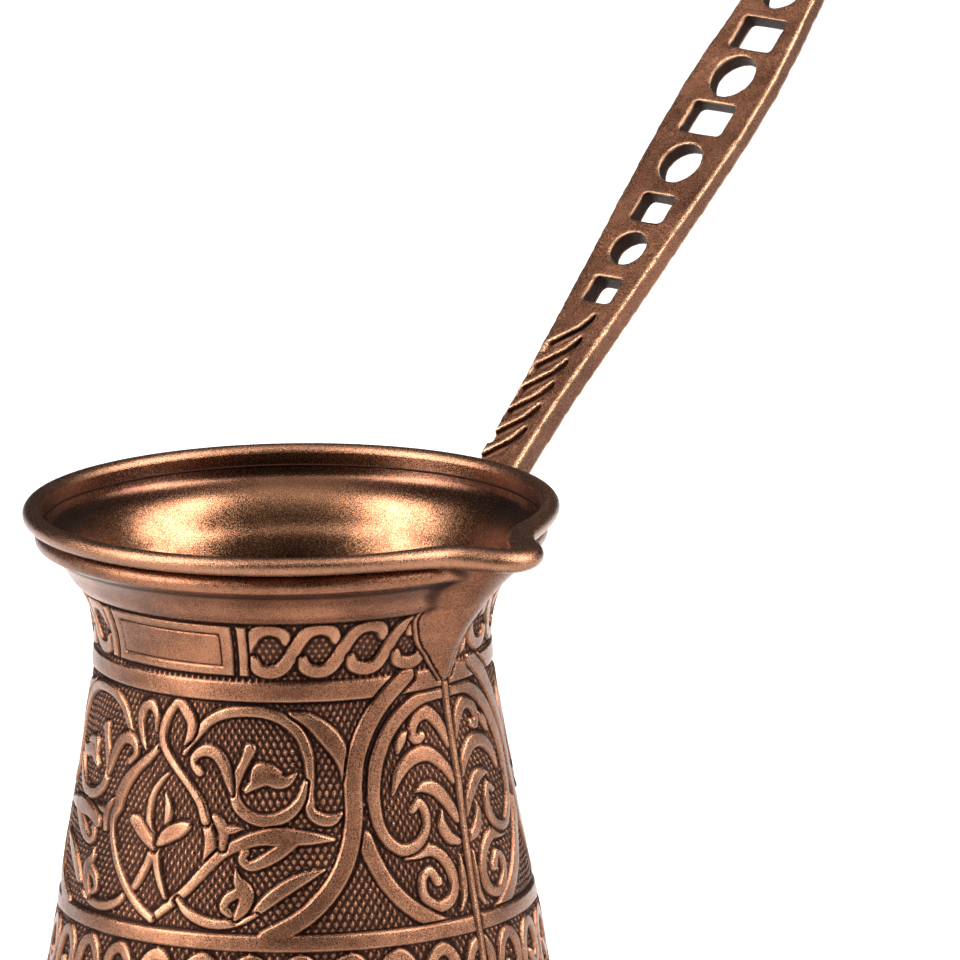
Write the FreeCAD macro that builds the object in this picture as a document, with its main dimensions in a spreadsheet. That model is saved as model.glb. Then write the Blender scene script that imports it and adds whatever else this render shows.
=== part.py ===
"""A long-handled coffee pot (cezve): a spun vessel with a pouring lip, a cast handle and three rivets.

Frame: +Z up, millimetres.  The origin is the middle of the flat base, the handle leaves towards +X
and the pouring lip points towards -Y.
"""

import FreeCAD
import Part
import math
import os
import Sketcher

DOC = FreeCAD.newDocument("cezve")
SHEET = DOC.addObject("Spreadsheet::Sheet", "Dims")

DIMENSIONS = [
    # vessel
    ("pot_height", 95.0),
    ("wall", 1.1),
    ("base_thickness", 1.6),
    ("base_radius", 33.6),
    ("belly_radius", 41.1),
    ("belly_arc", 57.0),
    ("cone_foot_radius", 40.34),
    ("cone_foot_height", 17.0),
    ("cone_top_radius", 32.4),
    ("cone_top_height", 64.0),
    ("neck_arc_low", 57.0),
    ("neck_radius", 31.6),
    ("neck_height", 73.6),
    ("neck_arc_high", 18.7),
    ("frieze_top_radius", 33.4),
    ("frieze_top_height", 81.6),
    ("moulding_radius", 34.75),
    ("moulding_height", 83.4),
    ("funnel_arc", 11.3),
    ("ridge_foot_radius", 39.3),
    ("ridge_foot_height", 88.4),
    ("ridge_arc", 1.6),
    ("ridge_radius", 40.3),
    ("ridge_height", 89.6),
    ("collar_height", 91.4),
    ("groove_radius", 39.9),
    ("groove_height", 92.1),
    ("bead_radius", 1.5),
    ("bead_path_radius", 41.0),
    ("mouth_radius", 39.5),
    # pouring lip at the bead
    ("lip_reach", 48.6),
    ("lip_tip_radius", 5.0),
    ("lip_blend_radius", 6.0),
    # pouring lip below the bead: depth under the rim, reach, nose radius and flank angle of each level
    ("lip_root", 27.0),
    ("lip_drop_0", 1.5),
    ("lip_reach_0", 48.9),
    ("lip_nose_0", 5.2),
    ("lip_flank_0", 32.5),
    ("lip_drop_1", 6.3),
    ("lip_reach_1", 44.4),
    ("lip_nose_1", 4.6),
    ("lip_flank_1", 47.0),
    ("lip_drop_2", 11.7),
    ("lip_reach_2", 38.85),
    ("lip_nose_2", 3.6),
    ("lip_flank_2", 46.0),
    ("lip_drop_3", 15.8),
    ("lip_reach_3", 35.5),
    ("lip_nose_3", 2.6),
    ("lip_flank_3", 55.0),
    ("lip_drop_4", 20.2),
    ("lip_reach_4", 33.0),
    ("lip_nose_4", 1.4),
    ("lip_flank_4", 62.0),
    ("lip_drop_5", 24.9),
    ("lip_reach_5", 31.8),
    ("lip_nose_5", 0.9),
    ("lip_flank_5", 62.0),
    # handle arm: its upper face starts on the neck, runs straight and then curls up a little
    ("arm_start_x", 34.0),
    ("arm_start_height", 78.2),
    ("arm_angle", 41.5),
    ("arm_straight", 85.0),
    ("arm_bend_radius", 900.0),
    ("arm_root_thickness", 4.4),
    ("arm_mid_thickness", 3.4),
    ("arm_tip_thickness", 2.8),
    ("arm_mid_at", 60.0),
    ("arm_slim_at", 86.0),
    # handle arm seen on its face: distances along it and half widths
    ("arm_root_back", 6.0),
    ("arm_root_half", 6.6),
    ("arm_narrow_at", 38.0),
    ("arm_narrow_half", 4.6),
    ("arm_narrow_arc", 190.0),
    ("arm_wide_at", 94.0),
    ("arm_wide_half", 8.0),
    ("arm_wide_span", 12.0),
    ("arm_wide_arc", 145.0),
    ("finial_neck_at", 145.3),
    ("finial_neck_half", 4.1),
    ("finial_at", 150.0),
    ("finial_radius", 6.2),
    ("hanging_hole_radius", 3.2),
    # windows in the arm, in pairs about the middle round one
    ("window_middle_at", 100.3),
    ("window_corner", 0.8),
    ("square_at_0", 56.5),
    ("square_wide_0", 5.6),
    ("square_long_0", 5.0),
    ("square_at_1", 73.3),
    ("square_wide_1", 6.6),
    ("square_long_1", 5.4),
    ("square_at_2", 91.7),
    ("square_wide_2", 8.6),
    ("square_long_2", 6.2),
    ("round_at_0", 65.0),
    ("round_radius_0", 3.2),
    ("round_at_1", 82.6),
    ("round_radius_1", 3.8),
    ("round_radius_middle", 4.0),
    # lengths of the blanks and cutters that shape the handle
    ("face_cutter_length", 40.0),
    ("side_blank_length", 30.0),
    ("foot_blank_length", 24.0),
    ("leaf_cutter_length", 3.0),
    ("bore_drill_length", 16.0),
    ("cavity_headroom", 2.0),
    # carved leaf ribs near the root of the arm
    ("leaf_first_at", 19.6),
    ("leaf_pitch", 4.6),
    ("leaf_gap", 2.5),
    ("leaf_depth", 1.0),
    ("leaf_edge", 4.0),
    ("leaf_knee_across", 4.0),
    ("leaf_knee_along", 3.8),
    ("leaf_end_across", 1.9),
    ("leaf_end_along", 3.6),
    # handle foot and rivets
    ("foot_thickness", 2.2),
    ("foot_clearance", 0.02),
    ("foot_plan_at", 34.0),
    ("band_drop", 8.0),
    ("foot_lobe_radius", 5.2),
    ("foot_waist_arc", 7.0),
    ("rivet_azimuth", 16.0),
    ("rivet_high", 76.2),
    ("rivet_low", 64.6),
    ("rivet_shank_radius", 2.0),
    ("rivet_bore_radius", 2.03),
    ("rivet_head_radius", 3.7),
    ("rivet_head_height", 1.7),
    ("rivet_head_seat", 0.5),
]


LIP_LEVELS = 6
SQUARE_PAIRS = 3
ROUND_PAIRS = 2
LEAF_GAPS = 6


class Size:
    """A number together with the spreadsheet expression that gives it."""

    def __init__(self, value, expression):
        self.value = float(value)
        self.expression = expression

    def _with(self, other, sign, value):
        text = other.expression if isinstance(other, Size) else repr(float(other))
        return Size(value, f"({self.expression} {sign} {text})")

    def __add__(self, other):
        return self._with(other, "+", self.value + number(other))

    def __sub__(self, other):
        return self._with(other, "-", self.value - number(other))

    def __mul__(self, other):
        return self._with(other, "*", self.value * number(other))

    def __truediv__(self, other):
        return self._with(other, "/", self.value / number(other))

    def __neg__(self):
        return Size(-self.value, f"(0 - {self.expression})")


def number(size):
    return size.value if isinstance(size, Size) else float(size)


def fill_sheet():
    """Writes every driving dimension to the sheet and returns them by name."""
    sizes = {}
    for row, (alias, value) in enumerate(DIMENSIONS, start=1):
        SHEET.set(f"A{row}", alias)
        SHEET.set(f"B{row}", str(value))
        SHEET.setAlias(f"B{row}", alias)
        sizes[alias] = Size(value, f"Dims.{alias}")
    DOC.recompute()
    return sizes


D = fill_sheet()


# ---------------------------------------------------------------- sketch helpers


def origin_plane(body, role):
    for feature in body.Origin.OriginFeatures:
        if feature.Role == role:
            return feature
    raise ValueError(role)


def new_body(name):
    body = DOC.addObject("PartDesign::Body", name)
    body.Label = name
    return body


def new_sketch(body, name, plane="XZ_Plane", height=None):
    """A sketch on one of the body's own planes, lifted along its normal by height."""
    sketch = body.newObject("Sketcher::SketchObject", name)
    sketch.AttachmentSupport = [(origin_plane(body, plane), "")]
    sketch.MapMode = "FlatFace"
    if height is not None:
        sketch.setExpression("AttachmentOffset.Base.z", height.expression)
    return sketch


def bind(sketch, kind, arguments, size):
    """Adds a dimensional constraint whose value follows the spreadsheet."""
    index = sketch.addConstraint(Sketcher.Constraint(kind, *arguments, size.value))
    sketch.setExpression(f"Constraints[{index}]", size.expression)


def pin(sketch, geometry, end, x, y):
    """Places one end of a sketch element at (x, y), each a Size or 0."""
    for kind, coordinate, axis in (("DistanceX", x, -2), ("DistanceY", y, -1)):
        if not isinstance(coordinate, Size):
            sketch.addConstraint(Sketcher.Constraint("PointOnObject", geometry, end, axis))
        elif coordinate.value < 0:
            bind(sketch, kind, (geometry, end, -1, 1), -coordinate)
        else:
            bind(sketch, kind, (-1, 1, geometry, end), coordinate)


def arc_between(start, end, radius, bulge):
    """An arc from start to end: bulge +1 turns left, -1 right, and 2 is the long way round to the left."""
    chord = end - start
    half = chord.Length / 2
    rise = math.sqrt(max(radius * radius - half * half, 0.0))
    left = FreeCAD.Vector(-chord.y, chord.x, 0).normalize()
    side = -1 if bulge in (-1, 2) else 1
    centre = (start + end) * 0.5 + left * (rise * side)
    first = math.atan2(start.y - centre.y, start.x - centre.x)
    last = math.atan2(end.y - centre.y, end.x - centre.x)
    circle = Part.Circle(centre, FreeCAD.Vector(0, 0, 1), radius)
    if bulge > 0:
        return Part.ArcOfCircle(circle, first, last)
    return Part.ArcOfCircle(circle, last, first)


def closed_outline(sketch, steps):
    """Draws a closed outline.

    Each step is (x, y, None), or (x, y, (radius, bulge)) where the edge that leaves it is an arc.
    """
    points = [FreeCAD.Vector(number(x), number(y), 0) for x, y, _ in steps]
    ends = []
    for i, (_, _, arc) in enumerate(steps):
        start, end = points[i], points[(i + 1) % len(points)]
        if arc is None:
            ends.append((sketch.addGeometry(Part.LineSegment(start, end)), 1, 2))
            continue
        radius, bulge = arc
        index = sketch.addGeometry(arc_between(start, end, radius.value, bulge))
        ends.append((index, 1, 2) if bulge > 0 else (index, 2, 1))
        bind(sketch, "Radius", (index,), radius)
    for i, (x, y, _) in enumerate(steps):
        index, start, _ = ends[i]
        before, _, last = ends[i - 1]
        sketch.addConstraint(Sketcher.Constraint("Coincident", before, last, index, start))
        pin(sketch, index, start, x, y)
    return ends


def circle_at(sketch, x, y, radius):
    index = sketch.addGeometry(
        Part.Circle(FreeCAD.Vector(number(x), number(y), 0), FreeCAD.Vector(0, 0, 1), radius.value)
    )
    pin(sketch, index, 3, x, y)
    bind(sketch, "Radius", (index,), radius)


# ---------------------------------------------------------------- vessel


def outer_outline():
    """The vessel's outside from the base to the rim, as a filled half section."""
    return [
        (0, 0, None),
        (D["base_radius"], 0, (D["belly_radius"] - D["base_radius"], 1)),
        (D["belly_radius"], D["belly_radius"] - D["base_radius"], (D["belly_arc"], 1)),
        (D["cone_foot_radius"], D["cone_foot_height"], None),
        (D["cone_top_radius"], D["cone_top_height"], (D["neck_arc_low"], -1)),
        (D["neck_radius"], D["neck_height"], (D["neck_arc_high"], -1)),
        (D["frieze_top_radius"], D["frieze_top_height"], None),
        (D["moulding_radius"], D["moulding_height"], (D["funnel_arc"], -1)),
        (D["ridge_foot_radius"], D["ridge_foot_height"], (D["ridge_arc"], 1)),
        (D["ridge_radius"], D["ridge_height"], None),
        (D["ridge_radius"], D["collar_height"], None),
        (D["groove_radius"], D["groove_height"], None),
        (D["bead_path_radius"], D["pot_height"] - D["bead_radius"], None),
        (0, D["pot_height"] - D["bead_radius"], None),
    ]


def inner_outline():
    """The cavity, one wall inside the outer outline and open above the rim."""
    wall = D["wall"]
    corner = D["belly_radius"] - D["base_radius"] - wall
    above = D["pot_height"] + D["cavity_headroom"]
    return [
        (0, D["base_thickness"], None),
        (D["base_radius"], D["base_thickness"], (corner, 1)),
        (D["belly_radius"] - wall, corner + D["base_thickness"], (D["belly_arc"] - wall, 1)),
        (D["cone_foot_radius"] - wall, D["cone_foot_height"], None),
        (D["cone_top_radius"] - wall, D["cone_top_height"], (D["neck_arc_low"] + wall, -1)),
        (D["neck_radius"] - wall, D["neck_height"], (D["neck_arc_high"] + wall, -1)),
        (D["frieze_top_radius"] - wall, D["frieze_top_height"] + 0.5, None),
        (D["moulding_radius"] - wall, D["moulding_height"] + 0.6, (D["funnel_arc"] + wall, -1)),
        (D["ridge_foot_radius"] - wall, D["ridge_foot_height"] + 0.8, (D["ridge_arc"], 1)),
        (D["ridge_radius"] - wall, D["ridge_height"] + 0.9, None),
        (D["mouth_radius"], D["pot_height"] - D["bead_radius"], None),
        (D["mouth_radius"], above, None),
        (0, above, None),
    ]


def rim_path(sketch):
    """The bead's centre line: the rim circle with the pouring lip drawn out of it, all tangent arcs."""
    ring = number(D["bead_path_radius"])
    tip = number(D["lip_tip_radius"])
    blend = number(D["lip_blend_radius"])
    tip_y = -(number(D["lip_reach"]) - tip)
    far = ring + blend
    cosine = (far**2 + tip_y**2 - (tip + blend) ** 2) / (2 * far * abs(tip_y))
    spread = math.acos(cosine)
    blend_centre = FreeCAD.Vector(far * math.sin(spread), -far * math.cos(spread), 0)
    tip_centre = FreeCAD.Vector(0, tip_y, 0)
    joint = tip_centre + (blend_centre - tip_centre) * (tip / (tip + blend))
    mirror_x = lambda p: FreeCAD.Vector(-p.x, p.y, 0)
    up = FreeCAD.Vector(0, 0, 1)

    def arc(centre, radius, start, end):
        first = math.atan2(start.y - centre.y, start.x - centre.x)
        last = math.atan2(end.y - centre.y, end.x - centre.x)
        return Part.ArcOfCircle(Part.Circle(centre, up, radius), first, last)

    zero = FreeCAD.Vector(0, 0, 0)
    start = FreeCAD.Vector(ring, 0, 0)
    right = blend_centre * (ring / far)
    left = mirror_x(right)
    west = arc(zero, ring, start, left)
    into = arc(mirror_x(blend_centre), blend, mirror_x(joint), left)
    nose = arc(tip_centre, tip, mirror_x(joint), joint)
    out = arc(blend_centre, blend, right, joint)
    east = arc(zero, ring, right, start)
    for piece in (west, into, nose, out, east):
        sketch.addGeometry(piece)
    join = [(0, 2, 1, 2), (1, 1, 2, 1), (2, 2, 3, 2), (3, 1, 4, 1)]
    for pair in join:
        sketch.addConstraint(Sketcher.Constraint("Tangent", *pair))
    sketch.addConstraint(Sketcher.Constraint("Coincident", 4, 2, 0, 1))
    for arc_index in (0, 4):
        sketch.addConstraint(Sketcher.Constraint("Coincident", arc_index, 3, -1, 1))
    sketch.addConstraint(Sketcher.Constraint("PointOnObject", 0, 1, -1))
    sketch.addConstraint(Sketcher.Constraint("PointOnObject", 2, 3, -2))
    bind(sketch, "Radius", (0,), D["bead_path_radius"])
    bind(sketch, "Radius", (1,), D["lip_blend_radius"])
    bind(sketch, "Radius", (2,), D["lip_tip_radius"])
    bind(sketch, "Radius", (3,), D["lip_blend_radius"])
    bind(sketch, "DistanceY", (2, 3, -1, 1), D["lip_reach"] - D["lip_tip_radius"])


def lip_section(body, name, height, reach, nose, flank):
    """One level of the lip: a wedge that widens inwards from a round nose, flank degrees off the middle."""
    sketch = new_sketch(body, name, "XY_Plane", height)
    lean = math.radians(flank.value)
    centre = FreeCAD.Vector(0, -number(reach - nose), 0)
    root_y = -number(D["lip_root"])
    touch = centre + FreeCAD.Vector(math.cos(lean), -math.sin(lean), 0) * nose.value
    root = FreeCAD.Vector(touch.x + (root_y - touch.y) * math.tan(lean), root_y, 0)
    touch_left = FreeCAD.Vector(-touch.x, touch.y, 0)
    root_left = FreeCAD.Vector(-root.x, root.y, 0)
    circle = Part.Circle(centre, FreeCAD.Vector(0, 0, 1), nose.value)
    sketch.addGeometry(Part.LineSegment(root_left, touch_left))
    sketch.addGeometry(Part.ArcOfCircle(circle, math.pi + lean, 2 * math.pi - lean))
    sketch.addGeometry(Part.LineSegment(touch, root))
    sketch.addGeometry(Part.LineSegment(root, root_left))
    sketch.addConstraint(Sketcher.Constraint("Tangent", 0, 2, 1, 1))
    sketch.addConstraint(Sketcher.Constraint("Tangent", 1, 2, 2, 1))
    sketch.addConstraint(Sketcher.Constraint("Coincident", 2, 2, 3, 1))
    sketch.addConstraint(Sketcher.Constraint("Coincident", 3, 2, 0, 1))
    sketch.addConstraint(Sketcher.Constraint("Symmetric", 3, 1, 3, 2, -2))
    sketch.addConstraint(Sketcher.Constraint("PointOnObject", 1, 3, -2))
    bind(sketch, "Radius", (1,), nose)
    bind(sketch, "DistanceY", (1, 3, -1, 1), reach - nose)
    bind(sketch, "DistanceY", (3, 1, -1, 1), D["lip_root"])
    index = sketch.addConstraint(Sketcher.Constraint("Angle", 2, math.pi / 2 - lean))
    sketch.setExpression(f"Constraints[{index}]", f"(90 - {flank.expression}) * 1 deg")
    return sketch


def lip_sections(body, prefix, inset=0.0, lift=0.0):
    """The lip's levels from the lowest up, each drawn inset and the top one lifted."""
    sketches = []
    for level in range(LIP_LEVELS - 1, -1, -1):
        raised = lift if level == 0 else 0.0
        sketches.append(
            lip_section(
                body,
                f"{prefix}{level}",
                D["pot_height"] - D[f"lip_drop_{level}"] + raised,
                D[f"lip_reach_{level}"] - inset,
                D[f"lip_nose_{level}"] - inset * 0.7,
                D[f"lip_flank_{level}"],
            )
        )
    return sketches


def build_vessel():
    body = new_body("vessel")

    form_sketch = new_sketch(body, "OutsideSection")
    closed_outline(form_sketch, outer_outline())
    form = body.newObject("PartDesign::Revolution", "VesselForm")
    form.Profile = form_sketch
    form.ReferenceAxis = (form_sketch, ["V_Axis"])
    form.Angle = 360
    DOC.recompute()

    outer = lip_sections(body, "LipOutside")
    lip = body.newObject("PartDesign::AdditiveLoft", "PouringLip")
    lip.Profile = outer[0]
    lip.Sections = outer[1:]
    DOC.recompute()

    path = new_sketch(body, "RimPath", "XY_Plane", D["pot_height"] - D["bead_radius"])
    rim_path(path)
    section = new_sketch(body, "BeadSection")
    circle_at(section, D["bead_path_radius"], D["pot_height"] - D["bead_radius"], D["bead_radius"])
    bead = body.newObject("PartDesign::AdditivePipe", "RimBead")
    bead.Profile = section
    bead.Spine = (path, [""])
    bead.Mode = "Standard"
    DOC.recompute()

    cavity_sketch = new_sketch(body, "CavitySection")
    closed_outline(cavity_sketch, inner_outline())
    cavity = body.newObject("PartDesign::Groove", "Cavity")
    cavity.Profile = cavity_sketch
    cavity.ReferenceAxis = (cavity_sketch, ["V_Axis"])
    cavity.Angle = 360
    DOC.recompute()

    inner = lip_sections(body, "LipChannel", D["wall"], 3.0)
    channel = body.newObject("PartDesign::SubtractiveLoft", "LipChannel")
    channel.Profile = inner[0]
    channel.Sections = inner[1:]
    DOC.recompute()

    return body


# ---------------------------------------------------------------- rivets and their bores


def neck_pitch(z):
    """How far the neck's outward normal tips up at height z, as a Size in degrees."""
    above = z.value > D["neck_height"].value
    arc = D["neck_arc_high"] if above else D["neck_arc_low"]
    rise = D["neck_height"] - z
    return Size(
        math.degrees(math.asin(rise.value / arc.value)),
        f"asin({rise.expression} / {arc.expression})",
    )


def neck_surface(z):
    """The neck's outside radius at height z."""
    above = z.value > D["neck_height"].value
    arc = D["neck_arc_high"] if above else D["neck_arc_low"]
    rise = D["neck_height"] - z
    root = Size(
        math.sqrt(arc.value**2 - rise.value**2),
        f"sqrt({arc.expression} ^ 2 - {rise.expression} ^ 2)",
    )
    return D["neck_radius"] + arc - root


RIVETS = {
    "rivet_upper_left": (D["rivet_azimuth"], D["rivet_high"]),
    "rivet_upper_right": (-D["rivet_azimuth"], D["rivet_high"]),
    "rivet_lower": (D["rivet_azimuth"] * 0.0, D["rivet_low"]),
}


def stand_on_neck(item, azimuth, z):
    """Turns an item made along +X so that it stands square on the neck at that azimuth and height."""
    pitch = neck_pitch(z)
    radius = neck_surface(z)
    turn = FreeCAD.Rotation(FreeCAD.Vector(0, 0, 1), azimuth.value)
    tip = FreeCAD.Rotation(FreeCAD.Vector(0, 1, 0), -pitch.value)
    item.Placement = FreeCAD.Placement(
        turn.multVec(FreeCAD.Vector(radius.value, 0, z.value)), turn * tip
    )
    item.setExpression("Placement.Base.x", f"{radius.expression} * cos({azimuth.expression} * 1 deg)")
    item.setExpression("Placement.Base.y", f"{radius.expression} * sin({azimuth.expression} * 1 deg)")
    item.setExpression("Placement.Base.z", z.expression)


def build_bore(name, azimuth, z):
    """The drill that makes one rivet bore through the wall and the handle's foot."""
    drill = new_body(f"bore_{name}")
    sketch = new_sketch(drill, f"DrillSection_{name}", "YZ_Plane")
    circle_at(sketch, 0, 0, D["rivet_bore_radius"])
    pad = drill.newObject("PartDesign::Pad", f"Drill_{name}")
    pad.Profile = sketch
    pad.setExpression("Length", D["bore_drill_length"].expression)
    pad.Midplane = True
    stand_on_neck(drill, azimuth, z)
    return drill


def build_rivet_blank(name, azimuth, z):
    """A rivet turned about X: a dome inside the pot, the shank, and a dome outside the handle's foot."""
    blank = new_body(f"blank_{name}")
    seat = D["rivet_head_seat"]
    inside = -(D["wall"] - seat)
    outside = D["foot_thickness"] - seat
    height = D["rivet_head_height"] + seat
    dome = (D["rivet_head_radius"] * D["rivet_head_radius"] + height * height) / (height * 2.0)
    sketch = new_sketch(blank, f"RivetSection_{name}")
    closed_outline(
        sketch,
        [
            (inside - height, 0, None),
            (outside + height, 0, (dome, 1)),
            (outside, D["rivet_head_radius"], None),
            (outside, D["rivet_shank_radius"], None),
            (inside, D["rivet_shank_radius"], None),
            (inside, D["rivet_head_radius"], (dome, 1)),
        ],
    )
    turned = blank.newObject("PartDesign::Revolution", f"RivetTurned_{name}")
    turned.Profile = sketch
    turned.ReferenceAxis = (sketch, ["H_Axis"])
    turned.Angle = 360
    stand_on_neck(blank, azimuth, z)
    return blank


# ---------------------------------------------------------------- handle


def tilt(sketch, below):
    """Lays an XY sketch parallel to the arm's upper face, that far below it: its x runs up the arm."""
    rotation = FreeCAD.Rotation(FreeCAD.Vector(0, -1, 0), D["arm_angle"].value)
    x, z = arm_point(0.0, below)
    sketch.AttachmentOffset = FreeCAD.Placement(FreeCAD.Vector(x.value, 0, z.value), rotation)
    sketch.setExpression("AttachmentOffset.Base.x", x.expression)
    sketch.setExpression("AttachmentOffset.Base.z", z.expression)


def arm_outline():
    """The arm's face: it narrows above the root, widens to the middle and ends in a round finial."""
    wide = D["arm_wide_at"]
    span = D["arm_wide_span"]
    return [
        (-D["arm_root_back"], -D["arm_root_half"], (D["arm_narrow_arc"], -1)),
        (D["arm_narrow_at"], -D["arm_narrow_half"], None),
        (wide - span, -D["arm_wide_half"], (D["arm_wide_arc"], 1)),
        (wide + span, -D["arm_wide_half"], None),
        (D["finial_neck_at"], -D["finial_neck_half"], (D["finial_radius"], 2)),
        (D["finial_neck_at"], D["finial_neck_half"], None),
        (wide + span, D["arm_wide_half"], (D["arm_wide_arc"], 1)),
        (wide - span, D["arm_wide_half"], None),
        (D["arm_narrow_at"], D["arm_narrow_half"], (D["arm_narrow_arc"], -1)),
        (-D["arm_root_back"], D["arm_root_half"], None),
    ]


def rounded_window(sketch, at, across, along):
    """A rectangular window with round corners, centred on the arm."""
    corner = D["window_corner"]
    low, high = at - along * 0.5, at + along * 0.5
    side = across * 0.5
    closed_outline(
        sketch,
        [
            (low + corner, -side, None),
            (high - corner, -side, (corner, 1)),
            (high, -(side - corner), None),
            (high, side - corner, (corner, 1)),
            (high - corner, side, None),
            (low + corner, side, (corner, 1)),
            (low, side - corner, None),
            (low, -(side - corner), (corner, 1)),
        ],
    )


def arm_windows(sketch):
    """Square and round windows by turns, mirrored about the middle round one, and the hanging hole."""
    middle = D["window_middle_at"]
    circle_at(sketch, middle, 0, D["round_radius_middle"])
    circle_at(sketch, D["finial_at"], 0, D["hanging_hole_radius"])
    for i in range(SQUARE_PAIRS):
        at = D[f"square_at_{i}"]
        for place in (at, middle * 2.0 - at):
            rounded_window(sketch, place, D[f"square_wide_{i}"], D[f"square_long_{i}"])
    for i in range(ROUND_PAIRS):
        at = D[f"round_at_{i}"]
        for place in (at, middle * 2.0 - at):
            circle_at(sketch, place, 0, D[f"round_radius_{i}"])


def arm_point(along, below):
    """A point of the arm's side view: along the straight upper face, and below it."""
    angle = f"{D['arm_angle'].expression} * 1 deg"
    c = Size(math.cos(math.radians(D["arm_angle"].value)), f"cos({angle})")
    s = Size(math.sin(math.radians(D["arm_angle"].value)), f"sin({angle})")
    x = D["arm_start_x"] + c * along + s * below
    z = D["arm_start_height"] + s * along - c * below
    return x, z


def arm_curl_point(along, below):
    """The same on the curled upper end of the arm."""
    bend = D["arm_bend_radius"]
    turned = (along - D["arm_straight"]) / bend
    text = f"({D['arm_angle'].expression} * 1 deg + {turned.expression} * 1 rad)"
    angle = math.radians(D["arm_angle"].value) + turned.value
    c = Size(math.cos(angle), f"cos{text}")
    s = Size(math.sin(angle), f"sin{text}")
    centre_x, centre_z = arm_point(D["arm_straight"], -bend)
    reach = bend + below
    return centre_x + s * reach, centre_z - c * reach


def arm_side_outline():
    """The arm's side view, thick at the root and slim from the windows up."""
    end = D["finial_at"] + D["finial_radius"] + 1.0
    tip = D["arm_tip_thickness"]
    none = tip * 0.0
    root_end = arm_point(-D["arm_root_back"], D["arm_root_thickness"])
    return [
        (*root_end, None),
        (*arm_point(D["arm_mid_at"], D["arm_mid_thickness"]), None),
        (*arm_point(D["arm_straight"], tip), (D["arm_bend_radius"] + tip, 1)),
        (*arm_curl_point(end, tip), None),
        (*arm_curl_point(end, none), (D["arm_bend_radius"], -1)),
        (*arm_point(D["arm_straight"], none), None),
        (*arm_point(-D["arm_root_back"], none), None),
    ]


def leaf_gap(sketch, at):
    """The bent hollow between two carved ribs."""
    edge = D["leaf_edge"]
    knee = edge - D["leaf_knee_across"]
    end = knee - D["leaf_end_across"]
    knee_at = at + D["leaf_knee_along"]
    end_at = knee_at + D["leaf_end_along"]
    gap = D["leaf_gap"]
    closed_outline(
        sketch,
        [
            (at, edge, None),
            (knee_at, knee, None),
            (end_at, end, None),
            (end_at + gap, end, None),
            (knee_at + gap, knee, None),
            (at + gap, edge, None),
        ],
    )


def neck_band(out):
    """The neck's outside from the cone up to the frieze, moved outwards by out, as outline steps."""
    cone = math.atan2(
        D["cone_foot_radius"].value - D["cone_top_radius"].value,
        D["cone_top_height"].value - D["cone_foot_height"].value,
    )
    cone_text = (
        "atan((Dims.cone_foot_radius - Dims.cone_top_radius)"
        " / (Dims.cone_top_height - Dims.cone_foot_height))"
    )
    c = Size(math.cos(cone), f"cos({cone_text})")
    s = Size(math.sin(cone), f"sin({cone_text})")
    flare = math.asin((D["frieze_top_height"].value - D["neck_height"].value) / D["neck_arc_high"].value)
    flare_text = "asin((Dims.frieze_top_height - Dims.neck_height) / Dims.neck_arc_high)"
    fc = Size(math.cos(flare), f"cos({flare_text})")
    fs = Size(math.sin(flare), f"sin({flare_text})")
    down = D["band_drop"]
    return [
        (D["cone_top_radius"] + s / c * down + c * out, D["cone_top_height"] - down + s * out),
        (D["cone_top_radius"] + c * out, D["cone_top_height"] + s * out),
        (D["neck_radius"] + out, D["neck_height"]),
        (D["frieze_top_radius"] + fc * out, D["frieze_top_height"] - fs * out),
    ]


def revolve_outline(name, outline):
    """A solid turned about the pot's axis."""
    body = new_body(name)
    sketch = new_sketch(body, f"{name}_section")
    closed_outline(sketch, outline)
    turned = body.newObject("PartDesign::Revolution", f"{name}_turned")
    turned.Profile = sketch
    turned.ReferenceAxis = (sketch, ["V_Axis"])
    turned.Angle = 360
    return body


def build_foot_ring():
    """The curved sheet, hugging the neck, that the handle's foot is cut from."""
    near, far = neck_band(D["foot_clearance"]), neck_band(D["foot_thickness"])
    low_near = D["neck_arc_low"] - D["foot_clearance"]
    high_near = D["neck_arc_high"] - D["foot_clearance"]
    low_far = D["neck_arc_low"] - D["foot_thickness"]
    high_far = D["neck_arc_high"] - D["foot_thickness"]
    return revolve_outline(
        "foot_ring",
        [
            (*near[0], None),
            (*far[0], None),
            (*far[1], (low_far, -1)),
            (*far[2], (high_far, -1)),
            (*far[3], None),
            (*near[3], (high_near, 1)),
            (*near[2], (low_near, 1)),
            (*near[1], None),
        ],
    )


def build_neck_room():
    """The room that the neck takes, which the arm's root is cut back to."""
    near = neck_band(D["foot_clearance"])
    low_near = D["neck_arc_low"] - D["foot_clearance"]
    high_near = D["neck_arc_high"] - D["foot_clearance"]
    return revolve_outline(
        "neck_room",
        [
            (0, near[0][1], None),
            (*near[0], None),
            (*near[1], (low_near, -1)),
            (*near[2], (high_near, -1)),
            (*near[3], None),
            (0, near[3][1], None),
        ],
    )


def foot_lobes():
    """Where the foot's three lobes stand in the side view from +X: one on each rivet."""
    lobes = []
    for azimuth, z in (RIVETS["rivet_lower"], RIVETS["rivet_upper_left"], RIVETS["rivet_upper_right"]):
        reach = neck_surface(z) + D["foot_thickness"] * 0.5
        sine = Size(math.sin(math.radians(azimuth.value)), f"sin({azimuth.expression} * 1 deg)")
        lobes.append((reach * sine, z))
    return lobes


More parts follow.
